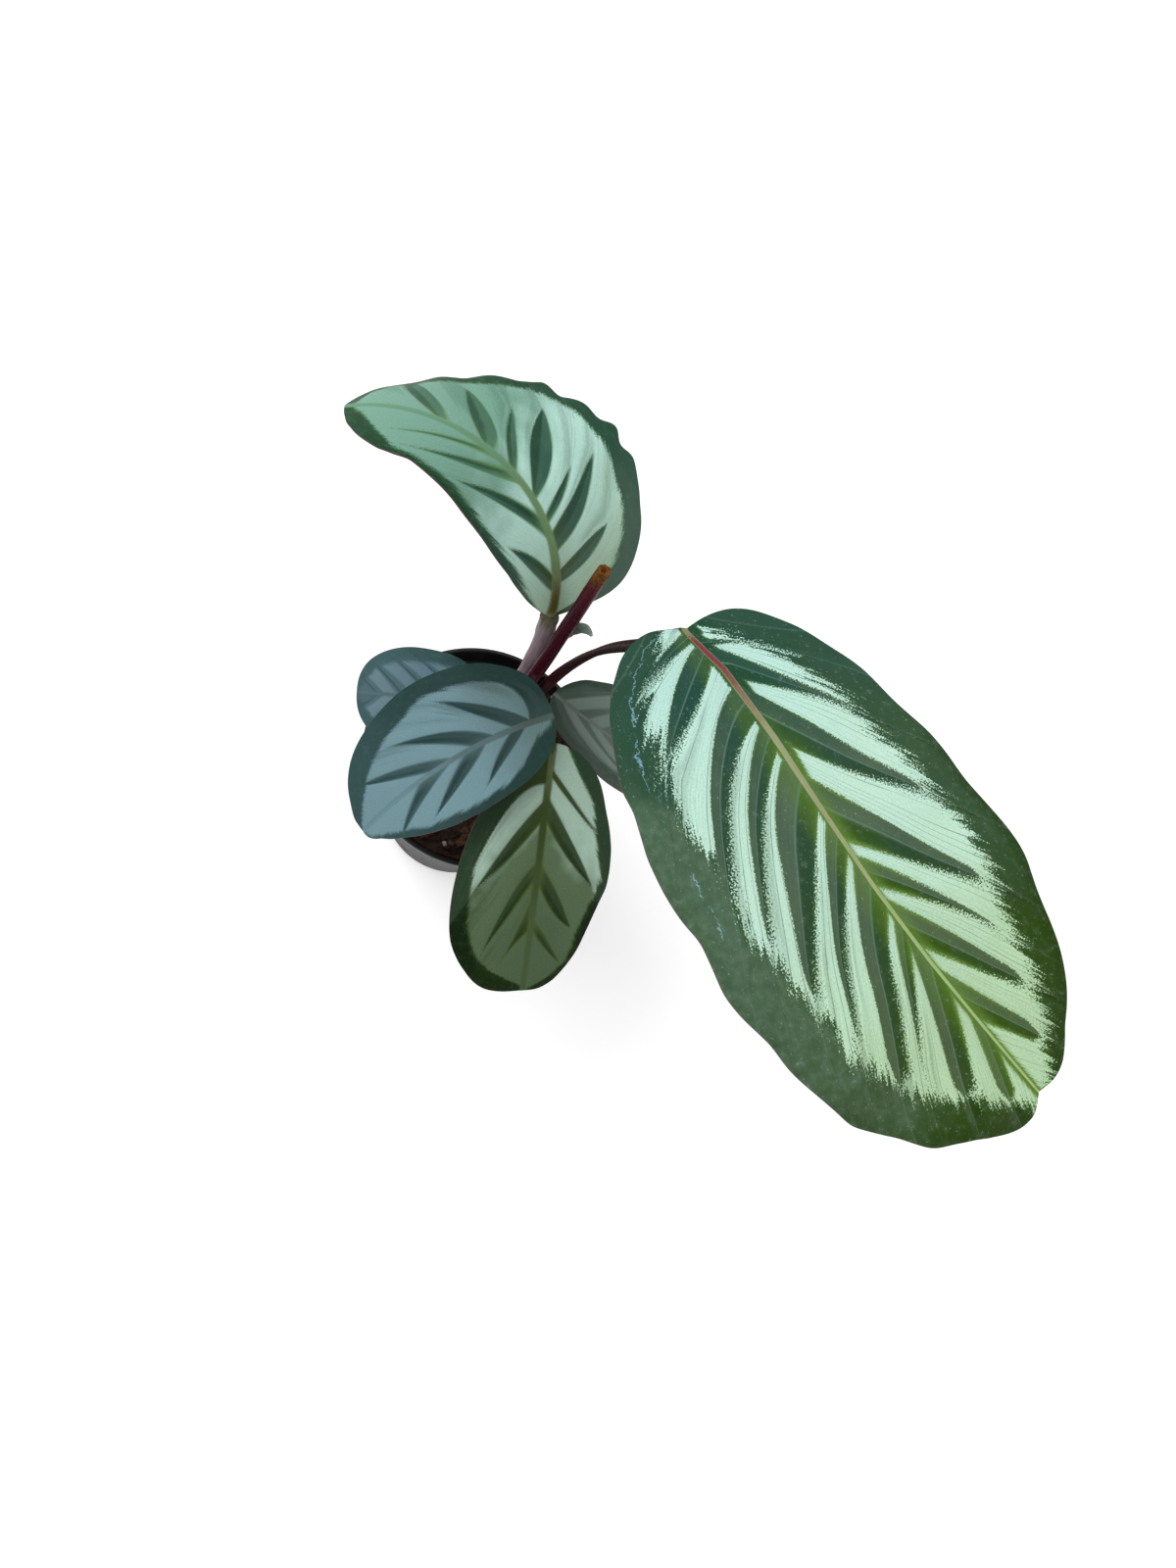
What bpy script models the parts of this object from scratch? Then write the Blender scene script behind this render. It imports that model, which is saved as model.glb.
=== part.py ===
"""Potted calathea: a round nursery pot, its potting mix, a rhizome with roots, six leaves on
their stalks, one rolled young leaf and one cut stalk.

Metres, +Z up.  The origin is the centre of the pot's underside, which stands on the floor.
Each leaf blade is a thin closed sheet: a flat outline around a midrib is folded and cupped
across the midrib, and the midrib is bent along its own rise, heading and roll.
"""
import math

import bpy
import numpy as np

for old_object in list(bpy.data.objects):
    bpy.data.objects.remove(old_object, do_unlink=True)

# ---------------------------------------------------------------- driving dimensions
GAP = 0.0003                     # clearance kept between pieces that touch

POT_HEIGHT = 0.092
POT_RIM_RADIUS = 0.0550
POT_BASE_RADIUS = 0.038
POT_WALL = 0.0012
POT_FLOOR = 0.0015
COLLAR_HEIGHT = 0.0115           # the wider band below the rim
COLLAR_STEP = 0.0020             # how far the collar stands out from the wall
DRAIN_HOLES = 8
DRAIN_RADIUS = 0.004
DRAIN_CIRCLE = 0.027
POT_SEGMENTS = 48

SOIL_EDGE_HEIGHT = 0.0775
SOIL_TOP_HEIGHT = 0.0805
SOIL_SEGMENTS = 48

RHIZOME_RADIUS = 0.013
RHIZOME_BOTTOM = 0.0740
RHIZOME_TOP = 0.0830
ROOTS = 5
ROOT_RADIUS = 0.0016
ROOT_TIP_RADIUS = 0.0007
ROOT_START = 0.0065              # distance from the axis where a root leaves the rhizome
ROOT_SPREAD = 0.0150             # how far out it runs
ROOT_DROP = 0.042                # how far down it runs

RIB_THICKNESS = 0.0021           # a blade's thickness along its midrib, at the base
EDGE_THICKNESS = 0.0006          # and at its margin
RIB_HALF_WIDTH = 0.0025
LATERAL_SWEEP = 3.0              # how strongly the side veins run forward to the tip

STALK_BASE_RADIUS = 0.0028       # at the sheath
STALK_BEND = 0.005               # the straight lead at the joint below the blade
UPRIGHT = 60                     # degrees of rise above which a blade stands on its stalk
STALK_SIDES = 8
STALK_STATIONS = 13
BLADE_STATIONS = 14              # across the midrib, base to tip
BLADE_STEPS = (0.10, 0.36, 0.70, 1.0)   # fractions from the midrib to the margin

# One row for each leaf.  base: where the stalk meets the blade.  length: along the midrib.
# width: midrib to margin, left and right of the way the leaf points.  rise: degrees above
# level at the base, middle and tip.  heading: compass degrees from +X at the base and tip.
# roll: turn about the midrib at the base and tip.  fold, cup: how much the halves lift at
# the midrib, and how much more at the margin.  round_base, round_tip: exponents of the
# outline, smaller for a blunter end.  lobe: how far each half reaches behind the stalk.
# root: the stalk's foot on the rhizome.  via: the stalk's guide points.  waist, radius: the
# stalk's radius at its slimmest and above that.
LEAVES = {
    "right": dict(
        base=(0.0250, -0.0310, 0.3128), length=0.160, width=(0.0415, 0.0550),
        rise=(17.5, 1.0, -9.5), heading=(-62.5, -44.5), roll=(-6, 5.5), fold=11.5, cup=-0.22,
        round_base=(0.45, 0.46), round_tip=(0.47, 0.44), lobe=(0.117, 0.150),
        root=(0.0055, 0.0045), via=((0.009, 0.004, 0.150), (0.0175, 0.0055, 0.240),
                                    (0.0135, -0.018, 0.268), (0.0205, -0.0315, 0.296)),
        waist=0.0014, radius=0.0021),
    "back": dict(
        base=(0.0040, 0.0095, 0.2270), length=0.127, width=(0.0265, 0.0510),
        rise=(86, 39.5, -22.5), heading=(120, 183), roll=(-17, 37), fold=-8.5, cup=0.0,
        round_base=(0.65, 0.41), round_tip=(0.36, 0.63), lobe=(-0.064, -0.076),
        root=(-0.0005, 0.0078), via=((0.0045, 0.0105, 0.130), (0.0105, 0.0115, 0.185)),
        waist=0.0036, radius=0.0036),
    "front": dict(
        base=(0.0154, -0.0230, 0.1832), length=0.1035, width=(0.0300, 0.0325),
        rise=(-7.5, -24, -43.5), heading=(-95, -88), roll=(-7, -3), fold=-2.5, cup=-0.18,
        round_base=(0.39, 0.58), round_tip=(0.48, 0.31), lobe=(-0.018, -0.039),
        root=(-0.0020, -0.0080), via=((-0.001, -0.010, 0.120), (0.010, -0.019, 0.160)),
        waist=0.0018, radius=0.0018),
    "left": dict(
        base=(0.0134, -0.0149, 0.1916), length=0.090, width=(0.0240, 0.0350),
        rise=(-1.5, -21, -46), heading=(200.5, 225), roll=(-3.5, 21.5), fold=2.0, cup=0.0,
        round_base=(0.43, 0.43), round_tip=(0.48, 0.43), lobe=(-0.012, 0.045),
        root=(0.0045, -0.0078), via=((0.006, -0.008, 0.130), (0.015, -0.010, 0.170)),
        waist=0.0018, radius=0.0018),
    "low_right": dict(
        base=(0.0188, 0.0040, 0.1675), length=0.078, width=(0.0290, 0.0305),
        rise=(-6.5, -25, -44.5), heading=(-34, -4), roll=(-23.5, -26), fold=9.0, cup=-0.04,
        round_base=(0.51, 0.44), round_tip=(0.39, 0.41), lobe=(-0.014, 0.0),
        root=(0.0088, -0.0020), via=((0.0112, -0.003, 0.115), (0.0175, 0.003, 0.148)),
        waist=0.0017, radius=0.0017),
    "low_left": dict(
        base=(-0.0040, 0.0040, 0.1460), length=0.057, width=(0.0260, 0.0245),
        rise=(8, 3, -2), heading=(180, 180), roll=(6, 6), fold=3.5, cup=-0.12,
        round_base=(0.45, 0.44), round_tip=(0.44, 0.40), lobe=(0.0, 0.0),
        root=(-0.0065, 0.0025), via=((-0.007, 0.0025, 0.105), (-0.003, 0.0030, 0.130)),
        waist=0.0016, radius=0.0016),
}

CUT_STALK_PATH = ((-0.0005, -0.0010, 0.0), (0.001, -0.003, 0.140), (0.0075, 0.003, 0.200),
                  (0.0132, 0.0088, 0.268))
CUT_STALK_RADIUS = 0.0027
YOUNG_LEAF_PATH = ((0.0042, 0.0090, 0.0), (0.0100, 0.0125, 0.130),
                   (0.0112, 0.0160, 0.1995), (0.0150, 0.0132, 0.2255), (0.0186, 0.0026, 0.2303))
YOUNG_STALK_RADIUS = 0.0013
YOUNG_ROLL_RADIUS = 0.0022
YOUNG_TIP_RADIUS = 0.0006


# ---------------------------------------------------------------- materials
def finish(name, colour, roughness, metallic=0.0):
    """A Principled material of one colour."""
    material = bpy.data.materials.new(name)
    material.use_nodes = True
    shader = material.node_tree.nodes["Principled BSDF"]
    shader.inputs["Base Color"].default_value = (*colour, 1.0)
    shader.inputs["Roughness"].default_value = roughness
    shader.inputs["Metallic"].default_value = metallic
    return material


BLACK_PLASTIC = finish("black_plastic", (0.010, 0.011, 0.012), 0.45)
POTTING_MIX = finish("potting_mix", (0.045, 0.030, 0.020), 0.95)
RHIZOME_SKIN = finish("rhizome_skin", (0.090, 0.045, 0.030), 0.80)
ROOT_SKIN = finish("root_skin", (0.420, 0.330, 0.230), 0.80)
STALK_SKIN = finish("stalk_skin", (0.095, 0.014, 0.030), 0.50)
LEAF_SKIN = finish("leaf_skin", (0.050, 0.110, 0.060), 0.40)
YOUNG_SKIN = finish("young_leaf_skin", (0.160, 0.240, 0.170), 0.45)


# ---------------------------------------------------------------- solids
def add_solid(name, points, faces, material):
    """One closed mesh as a named object, shaded smooth with sharp corners kept."""
    mesh = bpy.data.meshes.new(name)
    mesh.from_pydata([tuple(map(float, point)) for point in points], [], faces)
    mesh.materials.append(material)
    mesh.shade_smooth()
    mesh.set_sharp_from_angle(angle=math.radians(40))
    solid = bpy.data.objects.new(name, mesh)
    bpy.context.scene.collection.objects.link(solid)
    return solid


def turned(name, profile, segments, material):
    """A profile of (radius, height) turned about the axis; it starts and ends on the axis."""
    start, *rings, end = profile
    angle = 2 * math.pi * np.arange(segments) / segments
    points = [(0.0, 0.0, start[1])]
    for radius, height in rings:
        points += [(radius * math.cos(a), radius * math.sin(a), height) for a in angle]
    points.append((0.0, 0.0, end[1]))
    faces = []
    last = len(points) - 1
    for i in range(segments):
        j = (i + 1) % segments
        faces.append((0, 1 + j, 1 + i))
        for ring in range(len(rings) - 1):
            low = 1 + ring * segments
            high = low + segments
            faces.append((low + i, low + j, high + j, high + i))
        top = 1 + (len(rings) - 1) * segments
        faces.append((last, top + i, top + j))
    return add_solid(name, points, faces, material)


def bezier(controls, count):
    """Points on the Bezier curve of any number of control points, by de Casteljau's rule."""
    t = np.linspace(0.0, 1.0, count)[:, None]
    level = [np.tile(np.array(c, dtype=float), (count, 1)) for c in controls]
    while len(level) > 1:
        level = [a * (1 - t) + b * t for a, b in zip(level[:-1], level[1:])]
    return level[0]


def tube(name, path, radii, sides, material):
    """Rings of the given radii carried along a path without twist, closed by flat ends.

    The first ring lies level, face to face with what the tube starts from."""
    path = np.asarray(path)
    tangent = np.gradient(path, axis=0)
    tangent[0] = (0.0, 0.0, math.copysign(1.0, tangent[0][2]))
    tangent /= np.linalg.norm(tangent, axis=1)[:, None]
    across = np.cross(tangent[0], (0.0, 1.0, 0.0))
    angle = 2 * math.pi * np.arange(sides) / sides
    points = []
    for centre, along, radius in zip(path, tangent, radii):
        across = across - along * np.dot(across, along)
        across /= np.linalg.norm(across)
        up = np.cross(along, across)
        ring = centre + radius * (np.outer(np.cos(angle), across) + np.outer(np.sin(angle), up))
        points += ring.tolist()
    faces = [tuple(reversed(range(sides)))]
    for ring in range(len(path) - 1):
        low = ring * sides
        for i in range(sides):
            j = (i + 1) % sides
            faces.append((low + i, low + j, low + sides + j, low + sides + i))
    faces.append(tuple(range(len(points) - sides, len(points))))
    return add_solid(name, points, faces, material)


def cutter(name, target, solid_maker, *arguments):
    """A hidden solid that a Boolean takes away from the target."""
    tool = solid_maker(name, *arguments)
    tool.hide_render = True
    tool.display_type = "WIRE"
    cut = target.modifiers.new(name, "BOOLEAN")
    cut.operation = "DIFFERENCE"
    cut.solver = "EXACT"
    cut.object = tool
    return tool


# ---------------------------------------------------------------- pot and soil
def wall_radius(height):
    """Outer radius of the pot's tapered wall."""
    top = POT_HEIGHT - COLLAR_HEIGHT
    top_radius = POT_RIM_RADIUS - COLLAR_STEP - 0.0015
    return POT_BASE_RADIUS + (top_radius - POT_BASE_RADIUS) * height / top


def make_pot():
    """Thin tapered cup with a wider collar, a rolled rim and drain holes through its floor."""
    step = POT_HEIGHT - COLLAR_HEIGHT
    wall_top = wall_radius(step)
    inner_step = wall_radius(step - POT_WALL) - POT_WALL
    profile = [
        (0.0, 0.0),
        (POT_BASE_RADIUS - 0.0008, 0.0),
        (POT_BASE_RADIUS, 0.0010),
        (wall_top, step),
        (wall_top + COLLAR_STEP, step + 0.0012),
        (POT_RIM_RADIUS - 0.0004, POT_HEIGHT - 0.0018),
        (POT_RIM_RADIUS, POT_HEIGHT - 0.0009),
        (POT_RIM_RADIUS - 0.0004, POT_HEIGHT),
        (POT_RIM_RADIUS - 0.0015, POT_HEIGHT),
        (POT_RIM_RADIUS - 0.0020, POT_HEIGHT - 0.0010),
        (wall_top + COLLAR_STEP - POT_WALL, step + 0.0014),
        (inner_step, step - POT_WALL),
        (wall_radius(POT_FLOOR) - POT_WALL, POT_FLOOR + 0.0010),
        (wall_radius(POT_FLOOR) - POT_WALL - 0.0010, POT_FLOOR),
        (0.0, POT_FLOOR),
    ]
    pot = turned("pot", profile, POT_SEGMENTS, BLACK_PLASTIC)
    for number in range(DRAIN_HOLES):
        angle = 2 * math.pi * number / DRAIN_HOLES
        x = DRAIN_CIRCLE * math.cos(angle)
        y = DRAIN_CIRCLE * math.sin(angle)
        path = [(x, y, -0.002), (x, y, 0.0005), (x, y, POT_FLOOR + 0.002)]
        cutter(f"drain_cutter_{number + 1}", pot, tube, path, [DRAIN_RADIUS] * 3, 12, BLACK_PLASTIC)
    return pot


def root_path(number, extra=0.0):
    """A root's centre line, out and down from under the rhizome."""
    angle = 2 * math.pi * (number + 0.3) / ROOTS
    out = np.array([math.cos(angle), math.sin(angle), 0.0])
    down = np.array([0.0, 0.0, -1.0])
    top = RHIZOME_BOTTOM - GAP
    controls = [out * ROOT_START, out * (ROOT_START + 0.2 * ROOT_SPREAD) + down * 0.5 * ROOT_DROP,
                out * (ROOT_START + ROOT_SPREAD) + down * ROOT_DROP]
    path = bezier(controls, 7) + np.array([0.0, 0.0, top])
    if extra:
        path[0] += np.array([0.0, 0.0, 0.002])
        path[-1] += (path[-1] - path[-2]) / np.linalg.norm(path[-1] - path[-2]) * extra
    return path


def make_soil():
    """The root ball's potting mix: a plug that fills the pot, with a dish for the rhizome."""
    inner = POT_WALL + 1.5 * GAP
    dish = RHIZOME_RADIUS + 2 * GAP
    profile = [
        (0.0, POT_FLOOR + GAP),
        (wall_radius(0.004) - inner - 0.0020, POT_FLOOR + GAP),
        (wall_radius(0.005) - inner, 0.0050),
        (wall_radius(0.040) - inner, 0.0400),
        (wall_radius(SOIL_EDGE_HEIGHT - 0.0010) - inner, SOIL_EDGE_HEIGHT - 0.0010),
        (wall_radius(SOIL_EDGE_HEIGHT) - inner - 0.0015, SOIL_EDGE_HEIGHT),
        (0.0360, SOIL_EDGE_HEIGHT + 0.0012),
        (0.0240, SOIL_TOP_HEIGHT - 0.0008),
        (0.0165, SOIL_TOP_HEIGHT),
        (dish, SOIL_TOP_HEIGHT - 0.0012),
        (dish - 0.0003, 0.0762),
        (dish - 0.0026, RHIZOME_BOTTOM - GAP),
        (0.0, RHIZOME_BOTTOM - GAP),
    ]
    soil = turned("soil", profile, SOIL_SEGMENTS, POTTING_MIX)
    for number in range(ROOTS):
        radii = np.linspace(ROOT_RADIUS, ROOT_TIP_RADIUS, 7) + 2 * GAP
        cutter(f"root_cutter_{number + 1}", soil, tube, root_path(number, 2 * GAP), radii, 8,
               POTTING_MIX)
    return soil


def make_rhizome():
    """The short thick stem at soil level that every stalk grows from."""
    profile = [
        (0.0, RHIZOME_BOTTOM),
        (RHIZOME_RADIUS - 0.0025, RHIZOME_BOTTOM),
        (RHIZOME_RADIUS - 0.0003, 0.0765),
        (RHIZOME_RADIUS, 0.0795),
        (RHIZOME_RADIUS - 0.0003, 0.0822),
        (RHIZOME_RADIUS - 0.0012, RHIZOME_TOP),
        (0.0, RHIZOME_TOP),
    ]
    return turned("rhizome", profile, 32, RHIZOME_SKIN)


def make_root(number):
    """One tapering root, buried in the potting mix."""
    radii = np.linspace(ROOT_RADIUS, ROOT_TIP_RADIUS, 7)
    return tube(f"root_{number + 1}", root_path(number), radii, 8, ROOT_SKIN)


# ---------------------------------------------------------------- leaves
def midrib_frames(leaf, places):
    """Points and axes along the midrib, at fractions of its length.

    Rise runs through its base, middle and tip values on a parabola; heading and roll run
    straight from base to tip.  The tangent is summed along the length to give the points."""
    t = np.linspace(-0.15, 1.10, 126)
    base, middle, tip = leaf["rise"]
    rise = base + (4 * middle - 3 * base - tip) * t + 2 * (base - 2 * middle + tip) * t * t
    heading = leaf["heading"][0] + (leaf["heading"][1] - leaf["heading"][0]) * t
    roll = leaf["roll"][0] + (leaf["roll"][1] - leaf["roll"][0]) * t
    rise, heading, roll = (np.radians(v)[:, None] for v in (rise, heading, roll))
    along = np.hstack([np.cos(rise) * np.cos(heading), np.cos(rise) * np.sin(heading), np.sin(rise)])
    level = np.hstack([-np.sin(heading), np.cos(heading), 0 * heading])
    left = level * np.cos(roll) + np.cross(along, level) * np.sin(roll)
    normal = np.cross(along, left)
    step = (along[1:] + along[:-1]) / 2 * (t[1] - t[0]) * leaf["length"]
    centre = np.vstack([np.zeros(3), np.cumsum(step, axis=0)])

    def read(values):
        return np.stack([np.interp(places, t, values[:, k]) for k in range(3)], axis=-1)

    start = np.array([np.interp(0.0, t, centre[:, k]) for k in range(3)])
    return read(centre) - start + np.array(leaf["base"]), read(along), read(left), read(normal)


def blade_outline(leaf, side, grown):
    """Margin points of one half, at fractions grown of the way from base to tip.

    The half width is its full value times (g / peak)^base * ((1 - g) / (1 - peak))^tip,
    which is 1 at the peak; a lobe moves the base end back behind the stalk."""
    base, tip = leaf["round_base"][side], leaf["round_tip"][side]
    peak = base / (base + tip)
    out = leaf["width"][side] * (grown / peak) ** base * ((1 - grown) / (1 - peak)) ** tip
    back = leaf["lobe"][side] * np.sqrt(grown) * (1 - grown) ** 3
    return leaf["length"] * (grown - back), out


def make_blade(name, leaf):
    """The thin sheet of one leaf: a grid over both halves, doubled and closed at its margin.

    Its four-sided cells are cut along the same diagonal above and below, so that the two
    sides of the sheet stay apart where it is strongly bent."""
    station = np.sin(np.linspace(0.0, math.pi / 2, BLADE_STATIONS + 1)[1:-1]) ** 2
    root = (1 - (1 - station) ** (1 / LATERAL_SWEEP)) * leaf["length"]
    columns = []
    for side, sign in ((0, 1), (1, -1)):
        edge_x, edge_y = blade_outline(leaf, side, station)
        steps = reversed(BLADE_STEPS) if side == 0 else BLADE_STEPS
        half = [(root + (edge_x - root) * f, sign * edge_y * f) for f in steps]
        columns += half + ([(root, 0 * root)] if side == 0 else [])
    x = np.stack([c[0] for c in columns], axis=1)
    y = np.stack([c[1] for c in columns], axis=1)
    width = np.where(y > 0, leaf["width"][0], leaf["width"][1])
    centre, _, left, normal = midrib_frames(leaf, x / leaf["length"])
    lift = math.radians(leaf["fold"]) + 0.5 * leaf["cup"] * np.abs(y) / width
    top = (centre + left * (y * np.cos(lift))[..., None]
           + normal * (np.abs(y) * np.sin(lift))[..., None])
    rib = (RIB_THICKNESS - EDGE_THICKNESS) * (1 - 0.7 * root / leaf["length"])
    thick = EDGE_THICKNESS + rib[:, None] * np.exp(-(y / RIB_HALF_WIDTH) ** 2)
    bottom = top - normal * thick[..., None]

    ends, _, _, end_normal = midrib_frames(leaf, np.array([0.0, 1.0]))
    end_thick = np.array([RIB_THICKNESS, EDGE_THICKNESS])[:, None]
    rows, width_count = x.shape
    under = rows * width_count + 2
    points = [ends[0], *top.reshape(-1, 3), ends[1]]
    points += [ends[0] - end_normal[0] * end_thick[0], *bottom.reshape(-1, 3),
               ends[1] - end_normal[1] * end_thick[1]]

    def at(row, column):
        return 1 + row * width_count + column

    last = under - 1
    sheet = []
    for column in range(width_count - 1):
        sheet.append((0, at(0, column + 1), at(0, column)))
        sheet.append((last, at(rows - 1, column), at(rows - 1, column + 1)))
        for row in range(rows - 1):
            near, far = at(row, column), at(row + 1, column + 1)
            sheet.append((near, at(row, column + 1), far))
            sheet.append((near, far, at(row + 1, column)))
    right_edge = [at(row, width_count - 1) for row in range(rows)]
    left_edge = [at(row, 0) for row in reversed(range(rows))]
    margin = [0, *right_edge, last, *left_edge]
    wall = [(a, a + under, b + under, b) for a, b in zip(margin, margin[1:] + margin[:1])]
    faces = sheet + [tuple(reversed([v + under for v in face])) for face in sheet] + wall
    return add_solid(name, points, faces, LEAF_SKIN)


def make_stalk(name, leaf):
    """A stalk from the rhizome to its blade: sheathed at the foot, slim, then a swollen joint.

    It meets a blade that starts upright end to end, and any other from beneath."""
    base, along, _, normal = (v[0] for v in midrib_frames(leaf, np.array([0.0])))
    arrive = 0.4 * along + np.array([0.0, 0.0, 0.9])
    arrive /= np.linalg.norm(arrive)
    if leaf["rise"][0] > UPRIGHT:
        reach = leaf["radius"] * math.sqrt(1 - np.dot(arrive, along) ** 2) + GAP
        end = base - along * reach - normal * 0.5 * RIB_THICKNESS
    else:
        tilt = math.sqrt(1 - np.dot(arrive, normal) ** 2)
        reach = RIB_THICKNESS + leaf["radius"] * tilt + GAP
        end = base + along * leaf["radius"] - normal * reach
    foot = np.array([*leaf["root"], RHIZOME_TOP + GAP])
    path = bezier([foot, *leaf["via"], end - STALK_BEND * arrive, end], STALK_STATIONS)
    place = np.linspace(0.0, 1.0, STALK_STATIONS)
    waist, radius = leaf["waist"], leaf["radius"]
    radii = np.interp(place, (0.0, 0.3, 0.45, 0.6, 0.85, 0.93, 1.0),
                      (STALK_BASE_RADIUS, 0.5 * (STALK_BASE_RADIUS + waist), waist, radius,
                       radius, 1.12 * radius, radius))
    return tube(name, path, radii, STALK_SIDES, STALK_SKIN)


def lifted(path):
    """A path whose foot, given at height zero, stands on the rhizome."""
    foot, *rest = path
    return [(foot[0], foot[1], RHIZOME_TOP + GAP), *rest]


def make_cut_stalk():
    """The stalk of a leaf that was cut away, with a flat dried end."""
    radii = np.interp(np.linspace(0, 1, STALK_STATIONS), (0.0, 0.45, 1.0),
                      (STALK_BASE_RADIUS, CUT_STALK_RADIUS, CUT_STALK_RADIUS))
    return tube("cut_stalk", bezier(lifted(CUT_STALK_PATH), STALK_STATIONS), radii, STALK_SIDES,
                STALK_SKIN)


def make_young_leaf():
    """A leaf that is still rolled into a narrow spear, on its own thin stalk."""
    count = STALK_STATIONS + 4
    radii = np.interp(np.linspace(0, 1, count), (0.0, 0.65, 0.78, 0.9, 1.0),
                      (1.2 * YOUNG_STALK_RADIUS, YOUNG_STALK_RADIUS, YOUNG_ROLL_RADIUS,
                       0.8 * YOUNG_ROLL_RADIUS, YOUNG_TIP_RADIUS))
    return tube("young_leaf", bezier(lifted(YOUNG_LEAF_PATH), count), radii, STALK_SIDES,
                YOUNG_SKIN)


make_pot()
make_soil()
make_rhizome()
for root_number in range(ROOTS):
    make_root(root_number)
for leaf_name, leaf_data in LEAVES.items():
    make_stalk(f"stalk_{leaf_name}", leaf_data)
    make_blade(f"blade_{leaf_name}", leaf_data)
make_cut_stalk()
make_young_leaf()
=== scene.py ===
"""Looks of the potted calathea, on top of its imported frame.

The pieces follow each other as the plant is put together: the pot, the potting mix, the
rhizome with its roots, the stalks, the cut stalk, the rolled young leaf and the blades.
Metres, +Z up; the origin is the centre of the pot's underside.
"""
import math

import bpy
import numpy as np
from mathutils import Matrix, Vector


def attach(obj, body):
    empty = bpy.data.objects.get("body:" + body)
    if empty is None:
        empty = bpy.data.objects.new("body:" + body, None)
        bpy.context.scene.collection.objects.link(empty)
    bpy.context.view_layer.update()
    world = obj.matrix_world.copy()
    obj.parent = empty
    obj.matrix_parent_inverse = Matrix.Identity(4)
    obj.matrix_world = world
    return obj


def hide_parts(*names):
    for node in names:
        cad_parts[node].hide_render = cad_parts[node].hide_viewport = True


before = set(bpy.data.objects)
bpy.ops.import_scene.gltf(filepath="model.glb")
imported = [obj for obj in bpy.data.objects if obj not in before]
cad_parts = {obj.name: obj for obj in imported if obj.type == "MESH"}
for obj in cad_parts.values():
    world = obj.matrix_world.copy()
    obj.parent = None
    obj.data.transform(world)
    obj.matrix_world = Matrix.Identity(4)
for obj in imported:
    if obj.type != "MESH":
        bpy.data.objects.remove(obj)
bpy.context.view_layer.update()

# ------------------------------------------------------------- camera, floor and light
# The plant stands on a plain pale floor under soft studio light.  It is seen from above,
# over the front left of the pot, through a wide lens held close.
CAMERA_PLACE = (-0.07325, -0.16320, 0.58104)
CAMERA_RIGHT = (0.96825, 0.0, 0.25)
CAMERA_UP = (-0.07230, 0.95727, 0.28)
CAMERA_LENS = 25.0
FLOOR_SIDE = 12.0
FLOOR_COLOUR = (0.80, 0.80, 0.80, 1.0)
FLOOR_GLOW = 0.42                # what the floor adds where the camera sees it
FAR_GLOW = (1.5, 1.5, 1.5, 1.0)  # the same, far from the lamps
FAR_GLOW_SPAN = (0.8, 2.8)       # how far from the pot the one gives way to the other
FLOOR_DROP = 0.0002              # the floor lies this far below the pot
SKY_LEVEL = 0.52                 # light from all round; the lamps add the rest
# Each lamp: place, side length, watts.
LAMPS = {
    "window": ((-0.75, 0.55, 1.25), 1.10, 14.0),
    "fill": ((0.85, -0.80, 0.95), 1.20, 4.5),
}
LAMP_AIM = (0.03, -0.03, 0.20)

camera_data = bpy.data.cameras.new("camera")
camera_data.lens = CAMERA_LENS
camera_data.clip_start = 0.01
camera = bpy.data.objects.new("camera", camera_data)
right, up = Vector(CAMERA_RIGHT).normalized(), Vector(CAMERA_UP).normalized()
turn = Matrix((right, up, right.cross(up))).transposed().to_4x4()
camera.matrix_world = Matrix.Translation(CAMERA_PLACE) @ turn
bpy.context.scene.collection.objects.link(camera)
bpy.context.scene.camera = camera
bpy.context.scene.view_settings.view_transform = "Standard"

for lamp_name, (place, side, watts) in LAMPS.items():
    lamp_data = bpy.data.lights.new(lamp_name, "AREA")
    lamp_data.size = side
    lamp_data.energy = watts
    lamp = bpy.data.objects.new(lamp_name, lamp_data)
    aim = Vector(LAMP_AIM) - Vector(place)
    lamp.matrix_world = Matrix.Translation(place) @ aim.to_track_quat("-Z", "Y").to_matrix().to_4x4()
    bpy.context.scene.collection.objects.link(lamp)


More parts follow.
